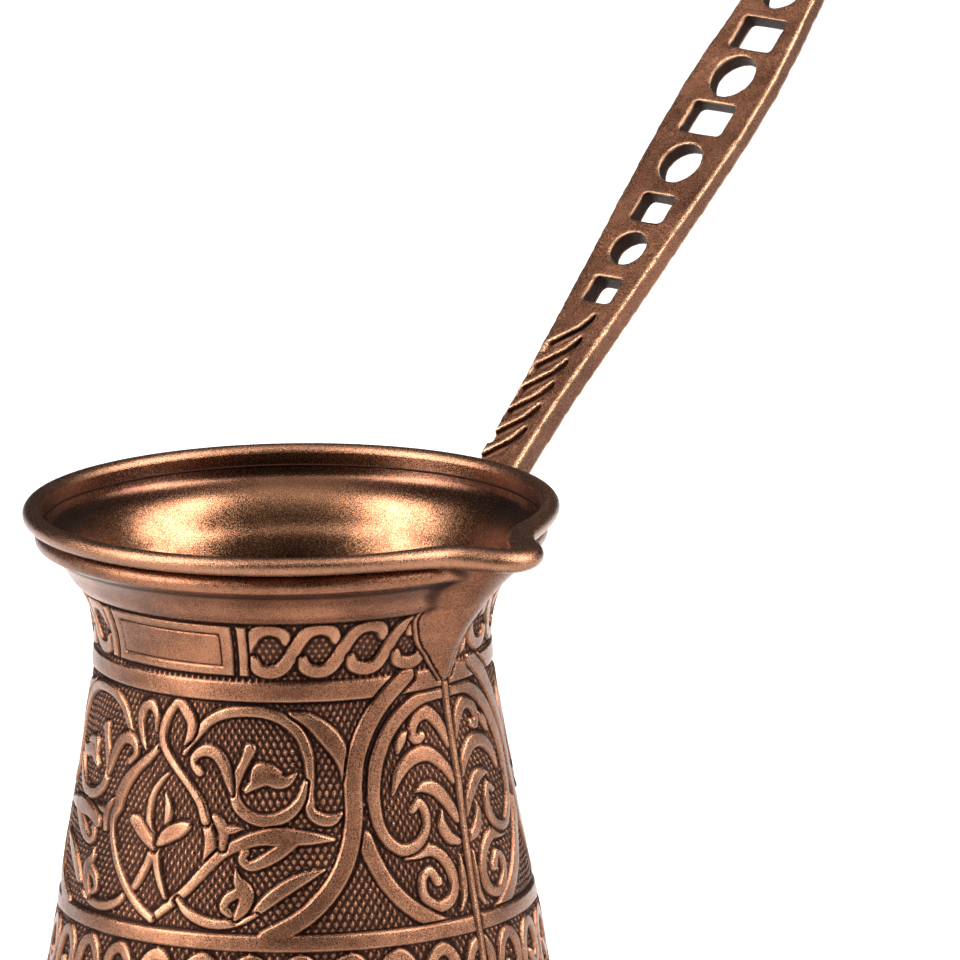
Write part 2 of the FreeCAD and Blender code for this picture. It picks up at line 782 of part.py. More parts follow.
def trefoil(sketch, lobes, radius, waist):
    """Round lobes, anticlockwise, joined by tangent waists that curve inwards."""
    centres = [FreeCAD.Vector(x.value, y.value, 0) for x, y in lobes]
    count = len(centres)
    waists = []
    for i in range(count):
        here, there = centres[i], centres[(i + 1) % count]
        chord = there - here
        outward = FreeCAD.Vector(chord.y, -chord.x, 0).normalize()
        rise = math.sqrt((radius.value + waist.value) ** 2 - (chord.Length / 2) ** 2)
        waists.append((here + there) * 0.5 + outward * rise)
    up = FreeCAD.Vector(0, 0, 1)
    for i in range(count):
        start = math.atan2(*(waists[i - 1] - centres[i])[1::-1])
        end = math.atan2(*(waists[i] - centres[i])[1::-1])
        lobe = Part.ArcOfCircle(Part.Circle(centres[i], up, radius.value), start, end)
        back = math.atan2(*(centres[i] - waists[i])[1::-1])
        ahead = math.atan2(*(centres[(i + 1) % count] - waists[i])[1::-1])
        hollow = Part.ArcOfCircle(Part.Circle(waists[i], up, waist.value), ahead, back)
        sketch.addGeometry(lobe)
        sketch.addGeometry(hollow)
    for i in range(count):
        lobe, hollow, following = 2 * i, 2 * i + 1, (2 * i + 2) % (2 * count)
        sketch.addConstraint(Sketcher.Constraint("Tangent", lobe, 2, hollow, 2))
        sketch.addConstraint(Sketcher.Constraint("Tangent", hollow, 1, following, 1))
        pin(sketch, lobe, 3, lobes[i][0] if abs(lobes[i][0].value) > 0 else 0, lobes[i][1])
        bind(sketch, "Radius", (lobe,), radius)
        bind(sketch, "Radius", (hollow,), waist)


def prism(name, draw, lay, length, midplane=True):
    """A pad of the outline that draw adds to a sketch, laid by lay."""
    body = new_body(name)
    sketch = lay(body, f"{name}_outline")
    draw(sketch)
    pad = body.newObject("PartDesign::Pad", f"{name}_pad")
    pad.Profile = sketch
    pad.setExpression("Length", length.expression)
    pad.Midplane = midplane
    return body


def on_face(below=0.0):
    def lay(body, name):
        sketch = new_sketch(body, name, "XY_Plane")
        tilt(sketch, below)
        return sketch

    return lay


def leaf_gaps(sketch):
    for i in range(LEAF_GAPS):
        leaf_gap(sketch, D["leaf_first_at"] + D["leaf_pitch"] * float(i))


def foot_plan_sketch(body, name):
    return new_sketch(body, name, "YZ_Plane", D["foot_plan_at"])


def boolean(kind, name, base, tool):
    item = DOC.addObject(f"Part::{kind}", name)
    item.Label = name
    item.Base = base
    item.Tool = tool
    return item


def joined(name, items):
    item = DOC.addObject("Part::MultiFuse", name)
    item.Label = name
    item.Shapes = items
    return item


def build_handle(bores):
    face_length = D["face_cutter_length"]
    plan = prism("arm_plan", lambda sketch: closed_outline(sketch, arm_outline()), on_face(), face_length)
    windows = prism("arm_windows", arm_windows, on_face(), face_length)
    side = prism(
        "arm_side",
        lambda sketch: closed_outline(sketch, arm_side_outline()),
        new_sketch,
        D["side_blank_length"],
    )
    leaf_floor = on_face(D["leaf_depth"])
    leaves = prism("leaf_gaps", leaf_gaps, leaf_floor, D["leaf_cutter_length"], midplane=False)
    foot_plan = prism(
        "foot_plan",
        lambda sketch: trefoil(sketch, foot_lobes(), D["foot_lobe_radius"], D["foot_waist_arc"]),
        foot_plan_sketch,
        D["foot_blank_length"],
    )
    arm = boolean("Common", "arm", plan, side)
    foot = boolean("Common", "foot", foot_plan, build_foot_ring())
    blank = joined("handle_blank", [arm, foot])
    cuts = joined("handle_cuts", [build_neck_room(), windows, leaves, bores])
    return boolean("Cut", "handle", blank, cuts)


# ---------------------------------------------------------------- the whole pot


def build_rivet(name, azimuth, z, handle, pot):
    """The rivet's heads take the shape of what they are hammered down on."""
    blank = build_rivet_blank(name, azimuth, z)
    seated = boolean("Cut", f"seated_{name}", blank, handle)
    return boolean("Cut", name, seated, pot)


def build_all():
    bores = joined("rivet_bores", [build_bore(name, *place) for name, place in RIVETS.items()])
    pot = boolean("Cut", "pot_body", build_vessel(), bores)
    handle = build_handle(bores)
    rivets = [build_rivet(name, *place, handle, pot) for name, place in RIVETS.items()]
    DOC.recompute()
    return [pot, handle, *rivets]


def check_document():
    """Stops if any object failed to compute."""
    for item in DOC.Objects:
        if "Invalid" in item.State or "Error" in item.State:
            raise RuntimeError(f"{item.Label} failed: {item.State}")


def write_parts(nodes):
    os.makedirs("parts", exist_ok=True)
    for node in nodes:
        shape = node.Shape
        if shape.isNull() or not shape.isValid() or len(shape.Solids) != 1:
            raise RuntimeError(f"{node.Label} is not one valid solid")
        box = shape.BoundBox
        spans = (box.XLength, box.YLength, box.ZLength)
        print(node.Label, round(shape.Volume, 1), [round(span, 1) for span in spans])
        shape.exportStep(f"parts/{node.Label}.step")


nodes = build_all()
check_document()
write_parts(nodes)
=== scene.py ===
import math

import bpy
import numpy as np
from mathutils import Matrix, Vector


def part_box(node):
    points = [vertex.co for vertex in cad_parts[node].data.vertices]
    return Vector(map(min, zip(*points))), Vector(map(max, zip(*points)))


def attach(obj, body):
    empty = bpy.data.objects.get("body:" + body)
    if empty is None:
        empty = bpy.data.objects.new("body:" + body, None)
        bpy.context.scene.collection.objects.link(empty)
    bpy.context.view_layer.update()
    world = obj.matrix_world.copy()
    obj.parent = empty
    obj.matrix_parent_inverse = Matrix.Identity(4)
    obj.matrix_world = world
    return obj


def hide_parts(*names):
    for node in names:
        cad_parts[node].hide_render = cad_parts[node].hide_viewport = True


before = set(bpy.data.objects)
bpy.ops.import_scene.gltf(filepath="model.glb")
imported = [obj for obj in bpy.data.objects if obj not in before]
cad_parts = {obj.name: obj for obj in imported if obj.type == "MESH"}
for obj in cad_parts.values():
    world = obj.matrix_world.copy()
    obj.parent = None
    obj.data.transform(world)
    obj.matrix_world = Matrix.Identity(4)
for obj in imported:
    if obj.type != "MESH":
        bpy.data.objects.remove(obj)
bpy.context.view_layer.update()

# A long-handled coffee pot: engraved copper body, pierced cast handle, three rivets.
# Lengths are millimetres while a shape is worked out and metres once it is a mesh.
MM = 0.001
BODY_LOW, BODY_HIGH = (np.array(corner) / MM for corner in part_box("pot_body"))
HEIGHT = BODY_HIGH[2] - BODY_LOW[2]
RNG = np.random.default_rng(20)


# ---------------------------------------------------------------- small helpers


def smooth(t):
    """0 below 0, 1 above 1, and an S-curve between."""
    t = np.clip(t, 0.0, 1.0)
    return t * t * (3.0 - 2.0 * t)


def smooth_max(a, b, k):
    """The larger of two values, with the corner between them rounded over k."""
    t = np.clip(0.5 + 0.5 * (a - b) / k, 0.0, 1.0)
    return b + (a - b) * t + k * t * (1.0 - t)


def catmull_rom(points, step):
    """A smooth curve through rows of points, about step apart by their first two columns."""
    p = np.array(points, float)
    q = np.vstack([2 * p[0] - p[1], p, 2 * p[-1] - p[-2]])
    rows = []
    for a, b, c, d in zip(q[:-3], q[1:-2], q[2:-1], q[3:], strict=True):
        count = max(int(np.hypot(*(c - b)[:2]) / step), 2)
        t = np.linspace(0, 1, count, endpoint=False)[:, None]
        cubic = (2 * a - 5 * b + 4 * c - d) * t**2 + (3 * b - a - 3 * c + d) * t**3
        rows.append(0.5 * (2 * b + (c - a) * t + cubic))
    rows.append(p[-1:])
    return np.vstack(rows)


def blur(field, rows, columns):
    """Box blur, twice each way; the field closes on itself along its columns."""
    for _ in range(2):
        for axis, size in ((0, rows), (1, columns)):
            if size < 1:
                continue
            shifts = range(-size, size + 1)
            if axis == 1:
                field = sum(np.roll(field, s, 1) for s in shifts) / len(shifts)
            else:
                padded = np.pad(field, ((size, size), (0, 0)), "edge")
                height = field.shape[0]
                field = sum(padded[size + s : size + s + height] for s in shifts) / len(shifts)
    return field


def noise_field(shape, cell, rng):
    """Soft value noise from -1 to 1 whose lumps are cell = (rows, columns) samples across.

    The field closes on itself along its columns.  Its rows stop just short of the last knots.
    """
    rows = max(int(shape[0] / cell[0]), 1) + 3
    columns = max(int(shape[1] / cell[1]), 2)
    knots = rng.uniform(-1, 1, (rows, columns))
    r = np.linspace(0, rows - 2.001, shape[0])
    c = np.arange(shape[1]) * columns / shape[1]
    r0, c0 = r.astype(int), c.astype(int)
    tr, tc = smooth(r - r0)[:, None], smooth(c - c0)[None, :]
    c1 = (c0 + 1) % columns
    top = knots[r0][:, c0] * (1 - tc) + knots[r0][:, c1] * tc
    low = knots[r0 + 1][:, c0] * (1 - tc) + knots[r0 + 1][:, c1] * tc
    return top * (1 - tr) + low * tr


# ---------------------------------------------------------------- the pot's section

# Outside, from the rolled bead's foot down to the frieze: (radius, depth below the rim).
MOULDINGS = [
    (39.1, 2.9),
    (39.15, 3.3),
    (40.0, 3.8),
    (40.5, 4.5),
    (40.6, 5.3),
    (40.3, 6.1),
    (39.3, 6.6),
    (38.2, 7.2),
    (37.3, 8.1),
    (36.62, 8.85),
    (36.25, 9.3),
    (35.75, 10.1),
    (35.1, 11.2),
    (34.25, 12.2),
    (33.4, 13.4),
]
# Inside, from the bead down through the collar and the funnel to the neck.
INSIDE = [
    (39.52, 1.3),
    (39.42, 2.2),
    (39.2, 3.6),
    (38.95, 4.7),
    (38.2, 5.5),
    (37.2, 6.2),
    (36.1, 7.2),
    (35.2, 8.4),
    (34.4, 9.8),
    (33.5, 11.6),
    (32.4, 13.4),
    (31.3, 16.4),
    (30.65, 19.4),
    (30.5, 21.4),
]
WALL = 1.1
BASE_THICKNESS = 1.6
BASE_RADIUS, BELLY_RADIUS, BELLY_ARC = 33.6, 41.1, 57.0
CONE_FOOT, CONE_TOP = (40.34, 17.0), (32.4, 64.0)
NECK_RADIUS, NECK_HEIGHT, NECK_ARC_LOW, NECK_ARC_HIGH = 31.6, 73.6, 57.0, 18.7
FRIEZE_TOP = 13.4
BEAD_CENTRE, BEAD_RADIUS = 41.0, 1.5


def body_radius(z, inset=0.0):
    """The outside radius of base, cone and neck at height z, or with the wall as inset the inside.

    Every curve is worked out for every z, so each root is clipped where it would fail.
    """
    corner = BELLY_RADIUS - BASE_RADIUS
    low = BASE_RADIUS + np.sqrt(np.clip(corner**2 - (corner - np.clip(z, 0, corner)) ** 2, 0, None))
    belly = BELLY_RADIUS - BELLY_ARC + np.sqrt(BELLY_ARC**2 - np.clip(z - corner, 0, 20) ** 2)
    slope = (CONE_FOOT[0] - CONE_TOP[0]) / (CONE_TOP[1] - CONE_FOOT[1])
    cone = CONE_FOOT[0] - (z - CONE_FOOT[1]) * slope
    rise = np.clip(z - NECK_HEIGHT, -CONE_TOP[1], 12.0)
    below = NECK_RADIUS + NECK_ARC_LOW - np.sqrt(np.clip(NECK_ARC_LOW**2 - rise**2, 1, None))
    above = NECK_RADIUS + NECK_ARC_HIGH - np.sqrt(np.clip(NECK_ARC_HIGH**2 - rise**2, 1, None))
    radius = np.where(z < corner, low, np.where(z < CONE_FOOT[1], belly, cone))
    radius = np.where(z > CONE_TOP[1], below, radius)
    radius = np.where(z > NECK_HEIGHT, above, radius)
    return radius - inset


# ---------------------------------------------------------------- the pouring lip

LIP_AZIMUTH = -90.0
# Depth below the rim, reach from the axis, nose radius and flank angle of the lip's outside.
LIP_LEVELS = np.array(
    [
        (0.0, 50.0, 6.2, 33.0),
        (3.0, 47.9, 5.6, 35.0),
        (6.3, 44.6, 4.6, 42.0),
        (11.7, 39.2, 3.4, 46.0),
        (15.8, 36.0, 2.4, 52.0),
        (20.2, 33.3, 1.3, 58.0),
        (24.9, 31.7, 0.6, 60.0),
    ]
)
LIP_WALL = 1.3
# The lip's tip hangs lower than the rim, by less and less round from it and down from it.
LIP_DROP, DROP_ANGLE, DROP_DEPTH = 1.1, 9.0, 9.0
# How widely the corner between lip and wall is rounded at a depth below the rim.
CORNER_DEPTHS = (0.0, 3.0, 7.0, 12.0, 25.0)
CORNERS = (4.0, 2.0, 1.0, 0.6, 0.3)
# Inside, the nose shrinks by this share of the inset, and not below the least nose.
NOSE_SHRINK, LEAST_NOSE = 0.7, 0.3
LIP_END, LIP_FADE = 25.2, 1.2


def from_lip(theta):
    """Degrees round from the middle of the lip, always positive."""
    return np.abs((theta - LIP_AZIMUTH + 180.0) % 360.0 - 180.0)


def wedge_radius(phi, reach, nose, flank):
    """How far out a wedge with a round nose goes, phi degrees off its middle."""
    phi, flank = np.radians(phi), np.radians(flank)
    centre = reach - nose
    touch = np.arctan2(nose * np.cos(flank), centre + nose * np.sin(flank))
    inside = np.clip(nose**2 - (centre * np.sin(phi)) ** 2, 0, None)
    arc = centre * np.cos(phi) + np.sqrt(inside)
    line = (centre * np.sin(flank) + nose) / np.sin(np.minimum(flank + phi, math.pi / 2))
    return np.where(phi < touch, arc, line)


def lip_surface(theta, depth, radius, inset=0.0):
    """The vessel's radius with the lip pressed out of it."""
    drops = LIP_LEVELS[:, 0]
    reach, nose, flank = (np.interp(depth, drops, LIP_LEVELS[:, i]) for i in (1, 2, 3))
    nose = np.maximum(nose - inset * NOSE_SHRINK, LEAST_NOSE)
    out = wedge_radius(from_lip(theta), reach - inset, nose, flank)
    corner = np.interp(depth, CORNER_DEPTHS, CORNERS)
    lifted = smooth_max(out, radius, corner)
    fade = smooth((LIP_END - depth) / LIP_FADE)
    return radius + (lifted - radius) * fade


# ---------------------------------------------------------------- the engraving
#
# It is drawn on the unrolled wall in u, degrees round from the middle of an ogee medallion, and in
# depth, millimetres below the rim.  It repeats every half turn: an ogee at u = 0, a roundel at 87.
# A stroke is a list of (u, depth, width).

REPEAT = 180.0
FIRST_U = -45.0
ROUNDEL_U = 87.0
TOP, BOTTOM = 12.0, 84.0
STEP_U, STEP_DEPTH = 0.16, 0.1
# A distance that counts as far from every stroke.
FAR = 9.0
# Millimetres over which a raised edge falls and the cut line outside it rises.
EDGE, CUT = 0.46, 0.30
# Levels: 0 on the raised metal, -1 on the sunk ground.
GROUND_LEVEL, CUT_LEVEL, SCORE_LEVEL = -1.0, -1.25, -0.8
CROWN, CROWN_REACH = 0.12, 0.5
# Slim strokes are broadened by SPREAD, and broad ones less.
SPREAD, LEAST_WIDTH, SLIM_WIDTH = 0.45, 0.2, 1.6
STROKE_STEP, STROKE_HALO = 0.12, 1.4
# Millimetres in a degree of the wall, about halfway down the engraving.
MEAN_DEGREE = 0.62

U_LINE = FIRST_U + STEP_U * np.arange(int(REPEAT / STEP_U))
DEPTH_LINE = TOP + STEP_DEPTH * np.arange(int((BOTTOM - TOP) / STEP_DEPTH) + 1)
DEGREE = math.pi / 180 * body_radius(HEIGHT - DEPTH_LINE)

OGEE = {
    "right": [
        (3.4, 26.2, 1.2), (0.6, 28.4, 1.5), (-0.9, 30.6, 1.6), (-0.7, 32.9, 1.6), (1.6, 35.0, 1.5),
        (5.0, 37.0, 1.4), (9.0, 39.3, 1.4), (12.4, 41.8, 1.5), (14.2, 44.4, 1.6), (15.8, 47.0, 2.2),
        (15.9, 49.2, 2.4), (15.0, 51.2, 1.4),
    ],
    "loop": [
        (3.4, 26.2, 1.2), (6.2, 27.6, 2.0), (8.4, 29.4, 2.0), (8.0, 31.4, 1.4), (6.4, 33.0, 0.4),
    ],
    "left": [
        (-1.6, 33.6, 1.0), (-5.0, 35.6, 1.5), (-9.4, 37.8, 1.9), (-12.8, 40.0, 2.6),
        (-15.0, 42.3, 2.8), (-15.6, 44.3, 2.4), (-17.2, 46.2, 1.7), (-16.8, 48.6, 1.4),
        (-15.0, 51.4, 1.4), (-12.2, 54.2, 1.4), (-8.4, 57.0, 1.4), (-4.0, 59.2, 1.4),
        (0.2, 60.7, 1.4),
    ],
    "hook": [
        (-3.2, 31.2, 1.1), (-3.8, 28.9, 1.4), (-6.4, 27.6, 1.7), (-9.4, 28.4, 1.8),
        (-9.9, 30.6, 1.6), (-8.4, 33.0, 1.3), (-6.6, 34.6, 0.6),
    ],
}
TULIP = {
    "stem": [
        (-2.0, 48.4, 1.7), (-3.4, 45.0, 1.4), (-2.8, 41.6, 1.2), (-0.2, 39.0, 0.9),
        (2.4, 37.6, 0.3),
    ],
    "left": [(-9.2, 45.8, 1.5), (-7.4, 46.4, 2.6), (-4.6, 47.8, 2.6), (-1.2, 49.3, 1.8)],
    "right": [(0.4, 48.9, 1.0), (3.2, 47.4, 2.9), (6.6, 46.3, 2.8), (9.4, 45.5, 1.0)],
    "bud": [(1.6, 40.9, 0.3), (2.8, 42.6, 1.4), (2.9, 44.6, 1.4), (1.8, 47.0, 0.4)],
    "left_leg": [(-0.8, 49.6, 1.9), (-2.6, 52.2, 1.6), (-4.8, 54.8, 1.6), (-6.2, 56.2, 1.3)],
    "right_leg": [(-0.4, 49.6, 1.9), (0.6, 52.4, 1.6), (2.2, 55.0, 1.4), (3.8, 57.0, 1.0)],
}
SCROLL = {
    "ring": [
        (6.4, 34.4, 0.7), (8.0, 32.9, 1.1), (10.2, 31.2, 1.5), (13.6, 29.0, 1.6),
        (18.4, 27.6, 1.7), (24.2, 27.1, 1.7), (30.4, 27.3, 1.7), (35.8, 28.5, 1.7),
        (39.8, 30.6, 1.7), (42.0, 33.6, 1.6), (42.6, 37.0, 1.3), (42.3, 40.3, 1.2),
        (42.6, 42.7, 1.5), (45.0, 43.9, 2.0), (48.0, 44.1, 1.7), (50.6, 43.2, 0.5),
    ],
    "inner": [
        (41.3, 38.2, 0.8), (39.8, 40.9, 1.4), (36.4, 43.0, 1.9), (31.8, 44.0, 2.1),
        (26.9, 43.6, 1.9), (23.0, 41.9, 1.7), (21.8, 39.4, 1.5), (23.0, 36.9, 1.6),
        (24.6, 34.9, 1.5), (26.0, 33.0, 2.0),
    ],
    "palmette": [
        (25.2, 39.4, 0.9), (27.6, 38.3, 1.7), (30.6, 37.4, 2.6), (34.0, 38.0, 2.2),
        (36.6, 37.8, 1.4), (38.8, 36.7, 0.3),
    ],
    "palmette_top": [(26.9, 37.6, 1.0), (28.4, 36.0, 1.7), (31.5, 35.9, 1.4), (34.4, 36.6, 0.5)],
    "curl": [
        (11.6, 36.9, 1.6), (9.9, 36.0, 1.3), (9.8, 34.7, 1.4), (12.6, 33.6, 1.9), (16.2, 33.9, 2.1),
        (18.8, 35.7, 1.9), (20.2, 37.9, 1.5), (21.2, 40.0, 0.6),
    ],
    "top_leaf": [
        (37.5, 27.4, 0.6), (42.4, 28.4, 2.2), (46.6, 30.3, 3.4), (50.0, 32.7, 3.4),
        (51.8, 35.3, 2.0), (51.7, 38.3, 0.3),
    ],
    "big_leaf": [
        (0.2, 60.7, 1.4), (4.6, 58.4, 1.5), (9.7, 55.6, 1.6), (14.2, 52.5, 1.7),
        (19.0, 49.5, 1.7), (23.3, 47.9, 2.0), (28.6, 46.8, 2.6), (33.6, 46.5, 3.3),
        (39.0, 46.7, 2.7), (43.8, 46.9, 1.6), (48.4, 47.2, 0.3),
    ],
    "leaf_curl": [
        (38.0, 47.3, 1.6), (33.4, 49.2, 2.4), (29.4, 50.6, 1.9), (26.4, 51.1, 1.5),
        (24.5, 50.2, 1.3), (25.2, 49.0, 1.4),
    ],
    "thin_leaf": [
        (26.5, 59.5, 0.4), (30.4, 57.0, 2.0), (35.0, 54.8, 2.5), (40.2, 53.0, 1.8),
        (45.4, 51.8, 0.3),
    ],
    "bottom_arc": [
        (7.6, 57.2, 0.9), (10.6, 59.0, 1.5), (15.2, 60.2, 1.7), (20.0, 60.4, 1.5),
        (24.6, 59.8, 1.1), (28.6, 58.7, 0.4),
    ],
    "bud": [
        (23.0, 51.9, 0.3), (23.6, 53.6, 1.5), (25.6, 55.2, 2.7), (25.4, 57.2, 2.4),
        (23.2, 59.4, 0.8),
    ],
    "bud_curl": [(23.4, 55.4, 1.6), (20.8, 56.5, 1.5), (20.0, 57.9, 1.3), (21.6, 58.8, 1.1)],
    "spur": [(16.6, 43.7, 0.8), (18.2, 44.6, 1.7), (19.4, 46.3, 1.6), (19.2, 48.4, 1.2)],
    "spur_leaf": [(18.8, 45.6, 1.2), (21.4, 45.6, 1.3), (24.6, 45.3, 0.3)],
}
# Strokes laid together, from the lowest layer up.
SCROLL_GROUPS = [
    ["ring"], ["inner"], ["palmette", "palmette_top"], ["curl"], ["top_leaf"],
    ["big_leaf", "leaf_curl"], ["thin_leaf"], ["bottom_arc"], ["bud", "bud_curl"],
    ["spur", "spur_leaf"],
]
# How far a group moves round, in degrees, when it is mirrored to the ogee's other side.
MIRROR_SHIFT = {"ring": -5.0, "palmette": -4.0, "top_leaf": -5.0}
USUAL_SHIFT = -1.0
FRAME_BAND = [
    (73.0, 22.6, 3.2), (65.3, 25.9, 3.3), (59.7, 29.7, 3.3), (56.0, 34.0, 3.3), (54.4, 38.6, 3.3),
    (54.0, 43.7, 3.3), (52.4, 48.7, 3.3), (49.0, 53.2, 3.3), (43.8, 57.2, 3.3), (38.1, 60.0, 3.3),
    (31.0, 62.3, 3.2),
]
CROSS_BAND = [
    (56.5, 47.5, 3.0), (58.4, 50.6, 3.0), (61.6, 54.6, 3.0), (66.4, 58.2, 3.0), (72.4, 61.0, 3.0),
    (80.0, 63.4, 3.0), (87.0, 64.8, 3.0),
]
ROUNDEL_RING = [
    (87.0, 26.8, 1.6), (82.0, 26.6, 2.0), (76.4, 26.9, 2.4), (70.4, 28.6, 2.7), (65.0, 31.6, 2.7),
    (61.5, 35.6, 2.6), (60.0, 40.2, 2.3), (60.4, 44.6, 2.0), (62.6, 47.8, 1.8), (66.6, 49.8, 1.8),
    (71.0, 49.4, 1.7), (74.2, 47.4, 1.6), (74.9, 44.8, 1.5), (73.2, 42.9, 1.4), (70.8, 43.8, 1.2),
]
ROUNDEL = [
    [
        (67.2, 51.2, 0.5), (71.0, 50.8, 1.5), (75.6, 50.6, 1.9), (79.6, 52.6, 2.0),
        (81.4, 55.8, 2.0), (79.6, 58.6, 1.9), (75.4, 59.4, 1.9), (71.8, 57.6, 1.7),
        (71.4, 54.9, 1.5), (74.0, 53.6, 1.4), (76.2, 55.4, 1.8),
    ],
    [
        (86.0, 34.8, 1.2), (83.4, 31.4, 2.0), (79.4, 29.2, 2.5), (75.4, 29.6, 2.2),
        (73.2, 31.5, 1.7), (74.4, 33.2, 1.4), (76.4, 32.6, 1.4),
    ],
    [
        (85.8, 40.4, 1.3), (82.6, 37.6, 2.0), (78.0, 35.6, 2.7), (72.6, 35.7, 2.8),
        (68.0, 37.8, 1.9), (65.4, 41.0, 0.4),
    ],
    [(85.6, 46.6, 1.3), (82.6, 43.6, 2.1), (78.8, 41.2, 2.5), (75.2, 40.6, 1.6), (72.4, 41.0, 0.4)],
    [(68.0, 34.6, 0.5), (69.2, 32.8, 1.7), (71.4, 31.6, 0.4)],
    [(84.6, 50.0, 1.3), (81.8, 49.0, 2.1), (79.8, 46.8, 1.7), (80.2, 44.8, 0.4)],
    [(84.4, 52.2, 0.5), (84.6, 55.4, 1.5), (84.2, 58.4, 1.3), (82.4, 60.6, 0.6)],
]
# The soldered-looking seam below the lip, half a degree off the middle.
SEAM_OFFSET, SEAM_WIDTH, SEAM_TOP = 0.5, 1.7, 24.7

# The frieze: rope between framed panels, as (first u, last u, top, low).
ROPE_PITCH, ROPE_FIRST, ROPE_DEPTH = 14.0, 31.8, 17.1
ROPE_GAP = (-26.2, 26.2, 10, 24)
PANELS = [(22.4, 25.8, 12.9, 21.7), (-25.8, -22.4, 12.9, 21.7), (-21.5, 21.5, 12.9, 21.7)]
PANEL_LINE, PANEL_LINE_WIDTH = (-17.6, 17.6, 14.6, 19.9), 0.26
ROPE_STRAND = [
    (-4.6, 1.7, 1.5), (-3.8, 3.0, 2.1), (-0.6, 3.6, 2.3), (2.8, 3.2, 2.3), (5.6, 1.5, 2.3),
    (8.4, -1.3, 2.3), (11.2, -3.1, 2.3), (14.6, -3.6, 2.3), (17.8, -2.8, 2.1), (18.8, -1.5, 1.5),
]
FOOT_PITCH = 12.0
FOOT_SCROLL = [
    (-5.6, 80.6, 1.6), (-5.4, 73.0, 1.6), (-3.4, 67.6, 1.9), (0.6, 66.0, 2.1), (3.6, 68.2, 2.0),
    (3.4, 71.4, 1.8), (0.8, 72.6, 1.6), (-1.0, 70.9, 1.5),
]
FOOT_LEAF = [(-0.6, 80.6, 1.2), (1.4, 77.4, 2.3), (4.6, 75.2, 1.8), (6.4, 72.6, 0.4)]
FRIEZE_LOW, FRAME_TOP = 22.2, 25.8
REGISTER_LOW, FOOT_TOP = 61.7, 64.7
FOOT_LOW, FOOT_END = 80.4, 90.0
HATCH_PITCH, HATCH_LEAN, HATCH_WANDER, HATCH_HEIGHT = 1.04, 57, 0.25, 0.50
DENT_HEIGHT = 0.05
# The cut line that closes the engraving at its top.
TOP_LINE, TOP_LINE_HALF, TOP_LINE_LEVEL = 0.55, 0.35, 0.9


def mirrored(stroke, about=0.0, shift=0.0):
    return [(2 * about - u + shift, depth, width) for u, depth, width in stroke]


def stroke_distance(strokes):
    """Distance in millimetres to the edge of a group of strokes, negative inside them.

    It is FAR wherever no stroke is within STROKE_HALO.
    """
    distance = np.full((len(DEPTH_LINE), len(U_LINE)), FAR, np.float32)
    even = (MEAN_DEGREE, 1, 1)
    for stroke in strokes:
        for u, depth, width in catmull_rom(np.array(stroke) * even, STROKE_STEP) / even:
            broad = smooth((width - SLIM_WIDTH) / SLIM_WIDTH)
            width = max(width, LEAST_WIDTH) + SPREAD * (1.0 - broad)
            reach = 0.5 * width + STROKE_HALO
            row = int((depth - TOP) / STEP_DEPTH)
            low = max(row - int(reach / STEP_DEPTH) - 1, 0)
            high = min(row + int(reach / STEP_DEPTH) + 2, len(DEPTH_LINE))
            if low >= high:
                continue
            degree = DEGREE[min(max(row, 0), len(DEGREE) - 1)]
            middle = (u - FIRST_U) / STEP_U
            half = int(reach / (degree * STEP_U)) + 1
            columns = np.arange(int(middle) - half, int(middle) + half + 2)
            across = (columns - middle) * STEP_U * degree
            along = DEPTH_LINE[low:high] - depth
            near = np.hypot(across[None, :], along[:, None]) - 0.5 * width
            columns %= len(U_LINE)
            distance[low:high, columns] = np.minimum(distance[low:high, columns], near)
    return distance


def panel_distance(first, last, top, low):
    """Distance in millimetres to the edge of an upright panel between two azimuths."""
    half = (last - first) / 2
    turned = (U_LINE - (first + last) / 2 + REPEAT / 2) % REPEAT - REPEAT / 2
    off = np.abs(turned) - half
    across = off[None, :] * DEGREE[:, None]
    along = np.abs(DEPTH_LINE - (top + low) / 2) - (low - top) / 2
    along = np.broadcast_to(along[:, None], across.shape)
    outside = np.hypot(np.maximum(across, 0), np.maximum(along, 0))
    return outside + np.minimum(np.maximum(across, along), 0)


def band_distance(top, low):
    """Distance in millimetres to the edge of a band that goes all the way round."""
    along = np.abs(DEPTH_LINE - (top + low) / 2) - (low - top) / 2
    return np.broadcast_to(along[:, None], (len(DEPTH_LINE), len(U_LINE)))


def lay(relief, distance):
    """Adds one raised shape, slightly crowned, with a cut line chased round it."""
    crown = -CROWN * np.exp(-np.clip(-distance, 0, None) / CROWN_REACH)
    inside = GROUND_LEVEL + (crown - GROUND_LEVEL) * smooth(-distance / EDGE)
    cut = CUT_LEVEL + (relief - CUT_LEVEL) * smooth(distance / CUT)
    return np.where(distance < 0, inside, np.minimum(relief, cut))


def score(relief, distance, width):
    """Cuts a thin line along the edge that distance describes."""
    off = smooth(np.abs(distance) / width)
    return np.minimum(relief, relief * off + SCORE_LEVEL * (1 - off))


def bare_ground():
    return np.full((len(DEPTH_LINE), len(U_LINE)), GROUND_LEVEL, np.float32)


